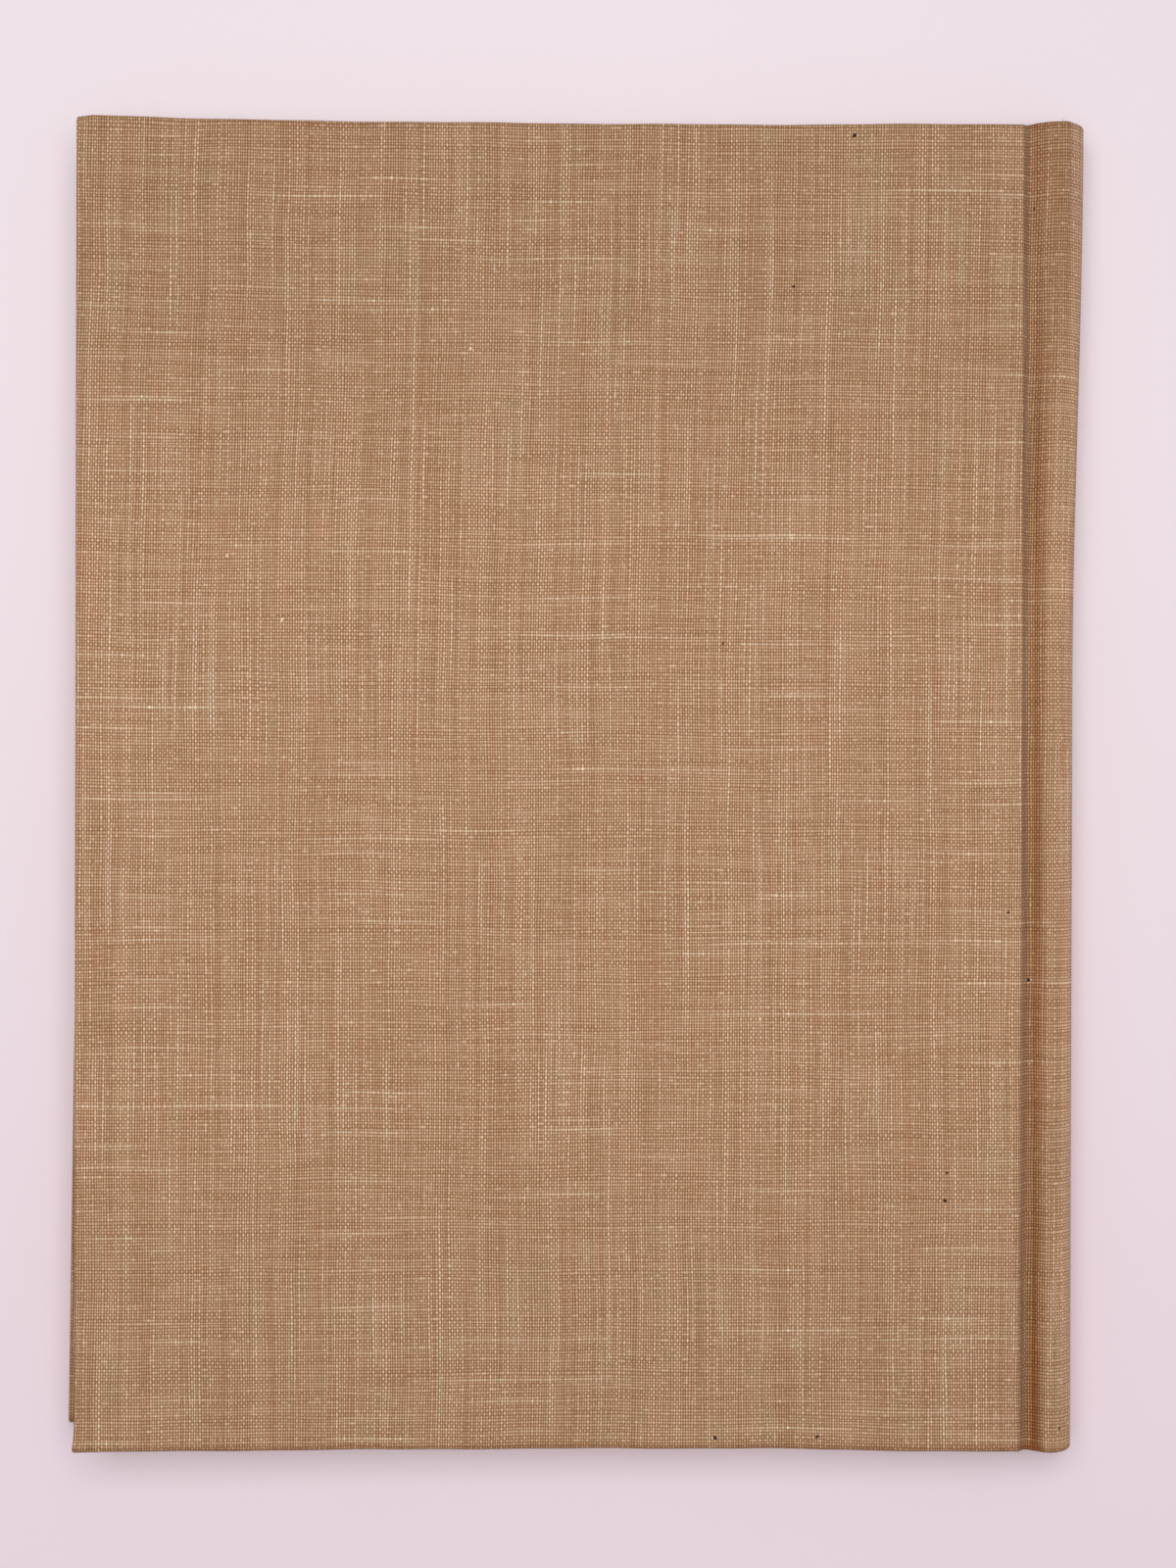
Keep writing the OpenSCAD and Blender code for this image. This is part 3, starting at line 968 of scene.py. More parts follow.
def faced_out(piece: bpy.types.Object) -> bpy.types.Object:
    """Turns every face of a closed piece outward."""
    work = bmesh.new()
    work.from_mesh(piece.data)
    bmesh.ops.recalc_face_normals(work, faces=work.faces)
    work.to_mesh(piece.data)
    work.free()
    return piece


def thickened(piece: bpy.types.Object, thick: float, offset: float) -> bpy.types.Object:
    """Gives a sheet its thickness, as plain mesh.

    Args:
        piece: The sheet, so far a single face thick.
        thick: Its thickness.
        offset: -1 to grow to the back of its faces, or 1 to the front.

    Returns:
        The same piece.
    """
    solid = piece.modifiers.new("thickness", "SOLIDIFY")
    solid.thickness = thick * MM
    solid.offset = offset
    graph = bpy.context.evaluated_depsgraph_get()
    piece.data = bpy.data.meshes.new_from_object(piece.evaluated_get(graph))
    piece.modifiers.clear()
    return piece


@dataclass
class CaseCloth:
    """Half of the case's cloth: from the spine's middle over a joint and a board.

    The real cloth is one piece. It is made in two halves that meet along the
    crown of the spine, one for each cover.

    Attributes:
        side: The cover that this half is on.
        thick: Thickness of the cloth.
        spine_steps: Steps from the crown of the spine to its ridge.
        rise_steps: Steps from the ridge down into the joint.
        drop_steps: Steps from the joint up to the board.
        edge_steps: Steps round the board's edge at the joint.
        board_steps: Steps across the board.
        length_steps: Steps along the book.
        bend_steps: Steps round each quarter of a fold at the board's other edges.
        fan_steps: Steps round a corner, half of them for each turn-in.
        edge_r: Radius of the cloth round the board's edge at the joint.
        bend_r: Largest radius of such a fold.
        bend_end: Place across the joint at which the cloth is all the cover's.
        mitre_reach: Distance from a corner within which the mitre moves points.
        mitre_slit: Half the slit between the two turn-ins at a corner.
        edge_slope: Degrees that the cloth turns through round the board's edge at the joint.
        shade_line_x: Place of the line of painted shade on the slope from the groove to the ridge.
        shade_line_half: Half that line's width.
        joint_pack: What the cloth folds over at the ends of the joint.
        spine_pack: What it folds over at the ends of the spine.
        head_edge_darkening: How much darker the cloth is along the head edge.
        tail_edge_shade: Painted shade along the tail edge, which faces away from the lamp.
        fore_edge_darkening: How much darker the cloth is along the fore-edge.
    """

    side: Side
    thick: float = 0.3
    spine_steps: int = 16
    rise_steps: int = 14
    drop_steps: int = 8
    edge_steps: int = 6
    board_steps: int = 72
    length_steps: int = 96
    bend_steps: int = 5
    fan_steps: int = 6
    edge_r: float = 1.05
    bend_r: float = 0.6
    bend_end: float = -3.4
    mitre_reach: float = 60.0
    mitre_slit: float = 0.07
    edge_slope: float = 56.0
    shade_line_x: float = -2.8
    shade_line_half: float = 0.9
    joint_pack: float = 0.7
    spine_pack: float = 1.4
    head_edge_darkening: float = 0.26
    tail_edge_shade: float = 0.58
    fore_edge_darkening: float = 0.22

    def crease(self, y: float) -> float:
        """How sharp the ridge is: 1 at the head, where the hollow was pulled."""
        return smooth((y - LINES.board_h / 2 + 62) / 55)

    def column(self, y: float) -> list:
        """The outer face of the cloth across the book at one height.

        Args:
            y: The place along the spine.

        Returns:
            For each station, its x, its z, how thick a pack the cloth folds
            over there at the head and tail, its share of darkening, partly ironed-in colour and partly
            painted shade, and its share of painted light.
        """
        lines = LINES
        crease = self.crease(y)
        ridge = (lines.ridge_x + 0.3 + lines.flare_at(y) + 0.8 * crease, lines.ridge_z - 0.1 * crease)
        edge_x = lines.hinge_x(self.side) + lines.cloth_t
        groove = (edge_x - lines.cloth_t + lines.groove_drop + 0.1, lines.leaf_z + lines.joint_high)
        centre = (edge_x - self.edge_r, lines.top_z - self.edge_r)
        return [*self.over_spine(y, ridge), *self.into_groove(y, ridge, groove),
                *self.up_to_board(y, groove, centre), *self.across_board(y, centre[0])]

    def joint_shade_at(self, y: float) -> float:
        """How far the joint is darkened, partly as ironed-in colour and partly as painted shade: most at
        the tail, least at the head.
        """
        return 0.62 + 0.25 * smooth((-y - 70) / 65) - 0.1 * smooth((y - 60) / 60)

    def end_shade_at(self, y: float) -> float:
        """Painted shade near the head and the tail, where the light falls off: below nought, so darker."""
        return -0.7 * smooth((y - 40) / 80) - 0.45 * smooth((-y - 50) / 90)

    def over_spine(self, y: float, ridge: tuple) -> list:
        """The stations from the crown of the spine, which carries a painted highlight, to the ridge.

        Args:
            y: The place along the spine.
            ridge: x and z of the ridge.

        Returns:
            The stations, as column() gives them.
        """
        crease = self.crease(y)
        crown = (LINES.crown_x + LINES.flare_at(y), 0.0)
        crown_pull = (crown[0], 3.7 - 0.5 * crease)
        turn = math.radians(12 + 30 * crease)
        ridge_pull = (ridge[0] + 3.2 * math.cos(turn), ridge[1] - 3.2 * math.sin(turn))
        stations = []
        for i in range(self.spine_steps + 1):
            share = i / self.spine_steps if i != 1 else 0.01
            point = bezier(crown, crown_pull, ridge_pull, ridge, share)
            # a little of the joint's darkening, ironed-in colour and painted shade, near the ridge
            ironed_shade_share = 0.12 * self.joint_shade_at(y) * smooth(share * 3 - 2)
            # painted highlight on the spine's round, which fades towards the ridge
            lit_share = self.end_shade_at(y) + 1.5 * smooth((1 - share) / 0.3)
            stations.append((*point, self.spine_pack, ironed_shade_share, lit_share))
        return stations

    def into_groove(self, y: float, ridge: tuple, groove: tuple) -> list:
        """The stations from the ridge into the groove, with a line of painted shade on the slope up to the
        ridge.

        Args:
            y: The place along the spine.
            ridge: x and z of the ridge.
            groove: x and z of the bottom of the groove.

        Returns:
            The stations, as column() gives them.
        """
        ridge_pull = (-0.95, ridge[1] + 0.36 + 0.06 * self.crease(y))
        groove_pull = (groove[0] + 1.6, groove[1])
        least = 0.12 + 0.5 * smooth((y - 60) / 60)
        stations = []
        for i in range(1, self.rise_steps + 1):
            share = i / self.rise_steps
            point = bezier(ridge, ridge_pull, groove_pull, groove, share)
            pack = self.spine_pack + (self.joint_pack - self.spine_pack) * smooth(2 * share)
            # the joint's darkening, ironed-in colour and painted shade, with a line of painted shade on the
            # slope
            ironed_shade_share = self.joint_shade_at(y) * (least + (1 - least) * smooth((share - 0.15) / 0.5))
            shade_line = 0.68 + 0.46 * smooth(1.2 - abs(point[0] - self.shade_line_x) / self.shade_line_half)
            stations.append((*point, pack, ironed_shade_share * shade_line, self.end_shade_at(y)))
        return stations

    def up_to_board(self, y: float, groove: tuple, centre: tuple) -> list:
        """The stations from the groove up the board's edge and round it.

        Args:
            y: The place along the spine.
            groove: x and z of the bottom of the groove.
            centre: x and z of the middle of the edge's round.

        Returns:
            The stations, as column() gives them.
        """
        slope = math.radians(self.edge_slope)
        ironed_and_shade, end_shade = self.joint_shade_at(y), self.end_shade_at(y)
        foot = (centre[0] + self.edge_r * math.sin(slope), centre[1] + self.edge_r * math.cos(slope))
        foot_pull = (foot[0] + 1.1 * math.cos(slope), foot[1] - 1.1 * math.sin(slope))
        # darkening, ironed-in colour and painted shade, that fades up and round the board's edge
        stations = []
        for i in range(1, self.drop_steps + 1):
            share = i / self.drop_steps
            point = bezier(groove, (groove[0] - 0.9, groove[1]), foot_pull, foot, share)
            stations.append((*point, self.pack_at(point[1]), ironed_and_shade * (0.78 - 0.2 * share), end_shade))
        # painted highlight along the round of the board's edge, fading towards the tail
        edge_highlight = 1.7 * smooth((y + 70) / 60)
        for i in range(1, self.edge_steps + 1):
            angle = slope * (1 - i / self.edge_steps)
            point = (centre[0] + self.edge_r * math.sin(angle), centre[1] + self.edge_r * math.cos(angle))
            ironed_shade_share = ironed_and_shade * 0.4 * (1 - i / self.edge_steps)
            lit_share = end_shade + edge_highlight * (1 - abs(2 * i / self.edge_steps - 1))
            stations.append((*point, self.pack_at(point[1]), ironed_shade_share, lit_share))
        return stations

    def across_board(self, y: float, start_x: float) -> list:
        """The stations from a place on the board to its fore-edge."""
        end_x = LINES.fore_at(self.side) - LINES.cloth_t + self.bend_r
        pack = LINES.top_z - LINES.turn_in_z
        stations = []
        for i in range(1, self.board_steps + 1):
            x = start_x + (end_x - start_x) * i / self.board_steps
            lift = LINES.warp_at(x) if self.side is Side.BACK else 0.0
            stations.append((x, LINES.top_z + lift, pack, 0.0, self.end_shade_at(y)))
        return stations

    def pack_at(self, z: float) -> float:
        """Thickness that the cloth folds over where it climbs from the groove to the board."""
        return max(self.joint_pack, z - LINES.turn_in_z)

    def heights(self) -> list:
        """The places along the book that carry a column of points."""
        half = LINES.case_h / 2 - self.bend_r
        ends = [half - 0.3, half - 0.7, half - 1.3]
        inner = half - 2.2
        middle = [inner * (2 * i / self.length_steps - 1) for i in range(self.length_steps + 1)]
        return [-half, *[-y for y in ends], *middle, *reversed(ends), half]

    def edge_darkening_at(self, y: float, out: float) -> float:
        """How much darker the cloth is beside the head and tail; at the tail it is painted shade.

        Args:
            y: The place along the book.
            out: How far the cloth has run on past its fold there.

        Returns:
            The share that adds to the share of darkening.
        """
        half = LINES.case_h / 2 - self.bend_r
        near = smooth((1.4 - (half - abs(y)) + out) / 1.9)
        return (self.tail_edge_shade if y < 0 else self.head_edge_darkening) * near

    def slope_at(self, column: list, i: int) -> tuple:
        """Direction into the book at a station: across the cloth, or straight down the board's edge."""
        if i == 0:
            return (-1.0, 0.0)
        before, after = column[i - 1], column[min(len(column) - 1, i + 1)]
        run = (after[0] - before[0], after[1] - before[1])
        on_board = i > self.spine_steps + self.rise_steps
        down = smooth((column[i][2] - self.joint_pack) / 0.6) if on_board else 0.0
        length = math.hypot(*run)
        into = (-run[1] / length * (1 - down), run[0] / length * (1 - down) - down)
        return (into[0] / math.hypot(*into), into[1] / math.hypot(*into))

    def wrap(self, pack: float) -> list:
        """The path that the cloth takes round an edge and in under the board.

        Args:
            pack: Thickness that it folds over, from its outer to its inner face.

        Returns:
            How far out and how far down each level is, and how far along the
            cloth; a level past the fold has a negative outward distance.
        """
        r = min(self.bend_r, pack / 2)
        start = self.bend_r - r
        levels = [(start, 0.0)] if start > 0 else []
        quarter = [math.pi / 2 * k / self.bend_steps for k in range(1, self.bend_steps + 1)]
        path = [(start + r * math.sin(a), r * (1 - math.cos(a))) for a in quarter]
        path.append((self.bend_r, pack / 2))
        path += [(start + r * math.cos(a), pack - r + r * math.sin(a)) for a in [0.0, *quarter]]
        reach = LINES.turn_in - self.bend_r
        path += [(start - (start + reach) * share, pack) for share in (0.04, 0.12, 0.3, 0.55, 0.8, 1.0)]
        if levels:
            path[0] = (start + r * math.sin(quarter[0]), r * (1 - math.cos(quarter[0])))
        along, run, last = [], 0.0, (0.0, 0.0)
        for out, down in path:
            run += math.hypot(out - last[0], down - last[1])
            along.append((out, down, run))
            last = (out, down)
        return along

    def shell(self) -> Surface:
        """The cloth's outer face, with its turned-in edges and mitred corners."""
        surface = Surface()
        heights = self.heights()
        columns = [self.column(y) for y in heights]
        stations = len(columns[0])
        grid = []
        for y, column in zip(heights, columns):
            run, row = 0.0, []
            edge_darkening = self.edge_darkening_at(y, 0.0)
            for i, (x, z, _, ironed_shade_share, lit_share) in enumerate(column):
                if i:
                    run += math.hypot(x - column[i - 1][0], z - column[i - 1][1])
                row.append(surface.point((x, y, z), (self.side.value * run, y), (ironed_shade_share + edge_darkening, lit_share)))
            grid.append(row)
        surface.skin(grid)
        last = stations - 1
        tail = [(columns[0], i, (0.0, -1.0), grid[0][i]) for i in range(stations)]
        head = [(columns[-1], i, (0.0, 1.0), grid[-1][i]) for i in range(stations)]
        fore = [(column, last, (-1.0, 0.0), row[last]) for column, row in zip(columns, grid)]
        self.hem(surface, tail, heights[0], flipped=True)
        self.hem(surface, head, heights[-1], flipped=False)
        self.fore_hem(surface, fore, heights)
        return surface

    def drawn_in(self, from_corner: float, out: float) -> float:
        """How far a point of a turn-in stands off its corner, so that two turn-ins meet in a mitre.

        Args:
            from_corner: How far the point would stand off, were the turn-in cut square.
            out: How far the point lies past the fold, as a negative number.

        Returns:
            The distance from the corner, which changes only near it.
        """
        gap = max(0.0, -out) + self.mitre_slit
        if from_corner > self.mitre_reach:
            return from_corner
        return gap + from_corner * (1 - gap / self.mitre_reach)

    def hem(self, surface: Surface, edge: list, y: float, flipped: bool) -> None:
        """Folds the cloth over the head or the tail, and over half of its corner.

        Args:
            surface: The mesh in the making.
            edge: For each point of the edge, its column, station, outward
                direction and number.
            y: The place of the edge along the spine.
            flipped: Whether the faces' order is turned round.
        """
        sign = edge[0][2][1]
        fan = [math.pi / 4 * k / (self.fan_steps // 2) for k in range(1, self.fan_steps // 2 + 1)]
        spread = [(0.0, station) for station in edge] + [(a, edge[-1]) for a in fan]
        rows = [[number for _, (_, _, _, number) in spread]]
        levels = len(self.wrap(edge[-1][0][edge[-1][1]][2]))
        for level in range(levels):
            row = []
            for turn, (column, i, _, number) in spread:
                x, z, pack = column[i][:3]
                out, down, run = self.wrap(pack)[level]
                into = self.slope_at(column, i)
                reach_x, reach_y = -math.sin(turn) * out, math.cos(turn) * out
                if out < 0:
                    from_corner = x - column[-1][0]
                    reach_x, reach_y = self.drawn_in(from_corner, out) - from_corner, out
                place = (x + into[0] * down + reach_x, y + sign * reach_y, z + into[1] * down)
                u, v = surface.flat[number]
                ironed_shade_share, lit_share = surface.shade_and_wear[number]
                # darker towards the edge; painted shade at the tail
                edge_darkened = (ironed_shade_share + self.edge_darkening_at(y, run) - self.edge_darkening_at(y, 0.0), lit_share)
                u -= self.side.value * reach_x if out < 0 else 0.0
                row.append(surface.point(place, (u, v + sign * run), edge_darkened))
            rows.append(row)
        for lower, upper in zip(rows, rows[1:]):
            surface.band(*((upper, lower) if flipped else (lower, upper)))

    def fore_hem(self, surface: Surface, edge: list, heights: list) -> None:
        """Folds the cloth over the fore-edge, and over half of each corner.

        Args:
            surface: The mesh in the making.
            edge: For each point of the edge, its column, station, outward
                direction and number.
            heights: The place of each point along the spine.
        """
        half = self.fan_steps // 2
        fan = [math.pi / 4 * k / half for k in range(half, 0, -1)]
        spread = [(-a, edge[0], heights[0]) for a in fan]
        spread += [(0.0, station, y) for station, y in zip(edge, heights)]
        spread += [(a, edge[-1], heights[-1]) for a in reversed(fan)]
        rows = [[station[3] for _, station, _ in spread]]
        first_column, last = edge[0][:2]
        for out, down, run in self.wrap(first_column[last][2]):
            row = []
            for turn, (column, i, _, number), y in spread:
                x, z = column[i][:2]
                u, v = surface.flat[number]
                place = (x - math.cos(turn) * out, y + math.sin(turn) * out, z - down)
                if out < 0:
                    v = math.copysign(heights[-1] - self.drawn_in(heights[-1] - abs(y), out), y)
                    place = (x - out, v, z - down)
                ironed_shade_share, lit_share = surface.shade_and_wear[number]
                # darker round the fore-edge
                edge_darkened = (ironed_shade_share + self.fore_edge_darkening * smooth(2 * run), lit_share)
                row.append(surface.point(place, (u + self.side.value * run, v), edge_darkened))
            rows.append(row)
        for lower, upper in zip(rows, rows[1:]):
            surface.band(upper, lower)

    def settled(self, point: tuple) -> tuple:
        """Moves a point of the square cloth to where years of use have left it.

        The cloth stands out past the ends of the spine, its edges bulge towards
        the joint, and the back cover's corners at the fore-edge are knocked.

        Args:
            point: x, y and z of the point on the square cloth.

        Returns:
            The point on the worn cloth.
        """
        x, y, z = point
        head = y > 0
        from_end = LINES.case_h / 2 - abs(y)
        near_end = smooth((24 - from_end) / 22)
        back = self.side is Side.BACK
        bulge = (0.55 if head else 0.9) * smooth((x + 75) / 68) if back else 0.0
        past_end = 1.4 if head else 1.3
        spine_share = smooth((x + 7.3) / 4.6)
        ripple = 0.07 * math.sin(x / 7.3) + 0.04 * math.sin(x / 2.9)
        shift = bulge + (past_end - bulge) * spine_share + ripple
        if back and head:
            proud = smooth((x - LINES.fore_x - 1.0) / 0.8) * (1 - smooth((x - LINES.fore_x - 4) / 30))
            shift += 0.5 * proud * smooth((3 - from_end) / 2.5)
        if back and not head:
            x -= 0.45 * smooth((4.6 - from_end) / 4.6) * smooth((LINES.fore_x + 6 - x) / 6)
        return (x, y + (shift if head else -shift) * near_end, z)

    def top_at(self, x: float, y: float) -> float:
        """Height of the cloth's outer face over a place on the book.

        Args:
            x: The place across the book.
            y: The place along it.

        Returns:
            The height there.
        """
        column = self.column(y)
        for (x0, z0, *_), (x1, z1, *_) in zip(column, column[1:]):
            if x1 <= x <= x0:
                return z0 + (z1 - z0) * (x0 - x) / max(x0 - x1, 1e-6)
        return column[-1][1]

    def build(self) -> bpy.types.Object:
        """Makes the cloth and gives it its thickness."""
        surface = self.shell()
        surface.points = [self.settled(p) for p in surface.points]
        if self.side is Side.FRONT:
            start, end = LINES.ridge_x, LINES.hinge_x(Side.FRONT)
            surface.points = [skewed(p, start, end) for p in surface.points]
            surface.points = [(x, y, -z) for x, y, z in surface.points]
        word = self.side.word
        piece = welded(surface.piece(f"{word}_case_cloth", flipped=self.side is Side.BACK))
        thickened(piece, self.thick, -1.0)
        bend_over_joint(piece, self.side, LINES.ridge_x, self.bend_end)
        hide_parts(f"{word}_cover_cloth", f"{word}_joint_cloth", "spine_cloth")
        return piece


@dataclass
class SpineInlay:
    """The strip of card that stiffens the cloth over the spine, glued inside it."""

    gap: float = 0.45
    thick: float = 0.4
    reach: float = 0.72
    half_steps: int = 12
    length_steps: int = 60

    def build(self) -> bpy.types.Object:
        """Makes the strip along the inside of the cloth's curve."""
        cloth = CaseCloth(Side.BACK)
        half = LINES.board_h / 2 - 0.3
        surface = Surface()
        rows = []
        for k in range(self.length_steps + 1):
            y = half * (2 * k / self.length_steps - 1)
            curve = [(x, z) for x, z, *_ in cloth.column(y)[: cloth.spine_steps + 1]]
            inner = []
            for i in range(self.half_steps + 1):
                at = self.reach * cloth.spine_steps * i / self.half_steps
                low = min(int(at), cloth.spine_steps - 1)
                share = at - low
                (x0, z0), (x1, z1) = curve[low], curve[low + 1]
                run = math.hypot(x1 - x0, z1 - z0)
                x = x0 + (x1 - x0) * share - self.gap * (z1 - z0) / run
                z = z0 + (z1 - z0) * share + self.gap * (x1 - x0) / run
                inner.append((x, z))
            path = [(x, -z) for x, z in reversed(inner[1:])] + [(inner[0][0], 0.0)] + inner[1:]
            rows.append([surface.point((x, y, z), (z, y)) for x, z in path])
        surface.skin(rows)
        piece = thickened(surface.piece("spine_stiffener", flipped=True), self.thick, -1.0)
        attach(piece, BLOCK)
        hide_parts("spine_inlay")
        return piece


@dataclass
class HingePaper:
    """A pastedown: the leaf glued inside a cover, and on over the joint to the leaves.

    Attributes:
        side: The cover that it is on.
        thick: Thickness of the paper.
        sink: How far the paper lies down beside a turn-in.
        ramp: Width over which it does so.
        board_from: Place across the joint at which the board begins under it.
        joint_from: Place at which its rows start to crowd for the joint.
        skew_start: Place at which the front cover's turn out of square begins.
        bend_start: Place across the joint at which it leaves the book's body.
        bend_end: Place at which it is all the cover's.
        board_steps: Steps over the board.
        joint_steps: Steps over the joint.
        length_steps: Steps along the book.
    """

    side: Side
    thick: float = 0.16
    sink: float = 0.35
    ramp: float = 1.6
    board_from: float = -4.2
    joint_from: float = -7.5
    skew_start: float = -1.5
    bend_start: float = -0.4
    bend_end: float = -4.0
    board_steps: int = 70
    joint_steps: int = 22
    length_steps: int = 90

    def stations(self) -> list:
        """The places across the paper that carry a row of points."""
        inner = self.joint_from
        outer = LINES.fore_at(self.side) + LINES.square
        board = [outer + (inner - outer) * i / self.board_steps for i in range(self.board_steps + 1)]
        return board + [inner * (1 - i / self.joint_steps) for i in range(1, self.joint_steps + 1)]

    def height_at(self, x: float, y: float) -> float:
        """Height of the paper's inner face, which shows the turn-ins under it.

        Args:
            x: The place across the cover.
            y: The place along it.

        Returns:
            The height, as on the back cover.
        """
        lines = LINES
        from_fore = x - (lines.fore_at(self.side) - lines.cloth_t + lines.turn_in)
        from_ends = lines.case_h / 2 - lines.turn_in - abs(y)
        sunk = smooth(min(from_fore, from_ends) / self.ramp)
        joint_share = smooth((self.board_from - x) / 2.5)
        lift = lines.warp_at(x) if self.side is Side.BACK else 0.0
        on_board = lines.pastedown_z + self.sink * sunk * joint_share + lift
        over_leaves = lines.leaf_face(x) + lines.paper_t + 0.03
        return max(on_board if x < self.board_from else lines.pastedown_z, over_leaves)

    def build(self) -> bpy.types.Object:
        """Makes the paper and gives it its thickness."""
        surface = Surface()
        half = LINES.page_h / 2
        rows = []
        for k in range(self.length_steps + 1):
            y = half * (2 * k / self.length_steps - 1)
            rows.append([surface.point((x, y, self.height_at(x, y)), (x, y)) for x in self.stations()])
        surface.skin(rows)
        front = self.side is Side.FRONT
        if front:
            start, end = self.skew_start, LINES.hinge_x(Side.FRONT)
            surface.points = [skewed(p, start, end) for p in surface.points]
            surface.points = [(x, y, -z) for x, y, z in surface.points]
        word = self.side.word
        piece = thickened(surface.piece(f"{word}_hinge_paper", flipped=front), self.thick, 1.0)
        bend_over_joint(piece, self.side, self.bend_start, self.bend_end)
        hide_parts(f"{word}_pastedown", f"{word}_joint_lining")
        return piece


@dataclass
class Leaves:
    """The sewn leaves: rounded and backed at the spine, and cut at the other three edges.

    Attributes:
        count: Number of slabs that stand for the leaves.
        filled: Share of the height that the slabs take, the rest being the lines between them.
        edge_slip: How far a slab's edge may be out of line.
        section_slip: How far a whole section may be.
        across_steps: Steps from the spine to the fore-edge.
        crowding: How closely the steps crowd towards the spine.
        seed: Number that the slips come from.
    """

    count: int = 72
    filled: float = 0.94
    edge_slip: float = 0.05
    section_slip: float = 0.1
    across_steps: int = 14
    crowding: float = 2.2
    seed: int = 11

    def stations(self, spine_x: float, fore_x: float) -> list:
        """The places across a leaf that carry points, closest near the spine."""
        shares = [(i / self.across_steps) ** self.crowding for i in range(self.across_steps + 1)]
        return [spine_x + (fore_x - spine_x) * share for share in shares]

    def build(self) -> bpy.types.Object:
        """Makes every leaf as a thin slab, each cut a hair out of line."""
        chance = random.Random(self.seed)
        lines = LINES
        surface = Surface()
        slips = [chance.uniform(-self.section_slip, self.section_slip) for _ in range(lines.sections)]
        for leaf in range(self.count):
            level = (2 * leaf + 1) / self.count - 1
            slip = slips[leaf * lines.sections // self.count]
            bow = 1 - level * level
            spine_x = lines.spine_round * bow - 0.05
            fore_x = lines.page_x + lines.fore_hollow * bow + abs(slip + chance.gauss(0, self.edge_slip))
            tail = -lines.page_h / 2 + abs(chance.gauss(0, self.edge_slip))
            head = lines.page_h / 2 - abs(0.5 * slip + chance.gauss(0, self.edge_slip))
            rows = []
            for x in self.stations(spine_x, fore_x):
                face = lines.leaf_face(min(x, 0.0))
                half = self.filled * face / self.count
                z = level * face
                ring = ((tail, z - half), (head, z - half), (head, z + half), (tail, z + half))
                rows.append([surface.point((x, y, height), (x, y)) for y, height in ring])
            surface.rod(rows)
        piece = surface.piece("leaves", flipped=True)
        piece.data.shade_flat()
        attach(piece, BLOCK)
        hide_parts("text_block")
        return piece


@dataclass
class HeadBand:
    """A band at one end of the spine: cotton wound in two colours over a cord, on a tape.

    Attributes:
        end: The end of the spine, "head" or "tail".
        cord_r: Radius of the cord.
        wind_r: Thickness of the winding thread.
        pitch: Distance from one turn of thread to the next.
        steps_per_turn: Steps along the cord in one turn.
        ring: Points round the cord.
        half_z: Half the band's height.
        tape_t: Thickness of the tape.
        tape_low: Distance from the middle at which the tape begins.
        tape_steps: Steps along the tape.
    """

    end: str
    cord_r: float = 0.62
    wind_r: float = 0.1
    pitch: float = 0.62
    steps_per_turn: int = 6
    ring: int = 10
    half_z: float = 5.9
    tape_t: float = 0.22
    tape_low: float = 130.0
    tape_steps: int = 24

    def spine_at(self, z: float) -> float:
        """Place of the leaves' spine at a height."""
        level = min(1.0, abs(z) / LINES.tip_z)
        return LINES.spine_round * (1 - level * level)

    def cord(self, surface: Surface, sign: float) -> list:
        """Winds the cord, and says which faces are of the dyed thread."""
        middle_y = sign * (LINES.page_h / 2 + self.cord_r + self.wind_r)
        turns = int(2 * self.half_z / self.pitch)
        steps = turns * self.steps_per_turn
        rings, dyed = [], []
        for k in range(steps + 1):
            z = self.half_z * (2 * k / steps - 1)
            wind = abs(math.sin(math.pi * k / self.steps_per_turn))
            radius = self.cord_r + self.wind_r * wind ** 0.6
            centre_x = self.spine_at(z) - self.cord_r
            row = []
            for j in range(self.ring):
                angle = math.tau * j / self.ring + 0.5
                place = (centre_x + radius * math.cos(angle), middle_y + radius * math.sin(angle), z)
                row.append(surface.point(place, (z, angle)))
            rings.append(row)
        surface.rod(rings)
        for k in range(steps):
            dyed += [(k // self.steps_per_turn) % 2] * self.ring
        return dyed + [0, 0]

    def tape(self, surface: Surface, sign: float) -> int:
        """Lays the tape on the leaves' spine, and says how many faces it takes."""
        before = len(surface.faces)
        top = LINES.page_h / 2 + 0.25
        rings = []
        for k in range(self.tape_steps + 1):
            z = self.half_z * (2 * k / self.tape_steps - 1)
            near = self.spine_at(z) + 0.04
            far = near + self.tape_t
            ring = ((near, self.tape_low), (near, top), (far, top), (far, self.tape_low))
            rings.append([surface.point((x, sign * y, z), (z, y)) for x, y in ring])
        surface.rod(rings)
        return len(surface.faces) - before

    def build(self, finishes: Finishes) -> bpy.types.Object:
        """Makes the band, in its two threads."""
        sign = 1.0 if self.end == "head" else -1.0
        surface = Surface()
        dyed = self.cord(surface, sign)
        dyed += [0] * self.tape(surface, sign)
        piece = surface.piece(f"{self.end}_band_wound")
        mesh = piece.data
        mesh.materials.append(finishes.cord)
        mesh.materials.append(finishes.cord_dyed)
        mesh.polygons.foreach_set("material_index", dyed)
        faced_out(piece)
        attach(piece, BLOCK)
        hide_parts(f"{self.end}_band")
        return piece


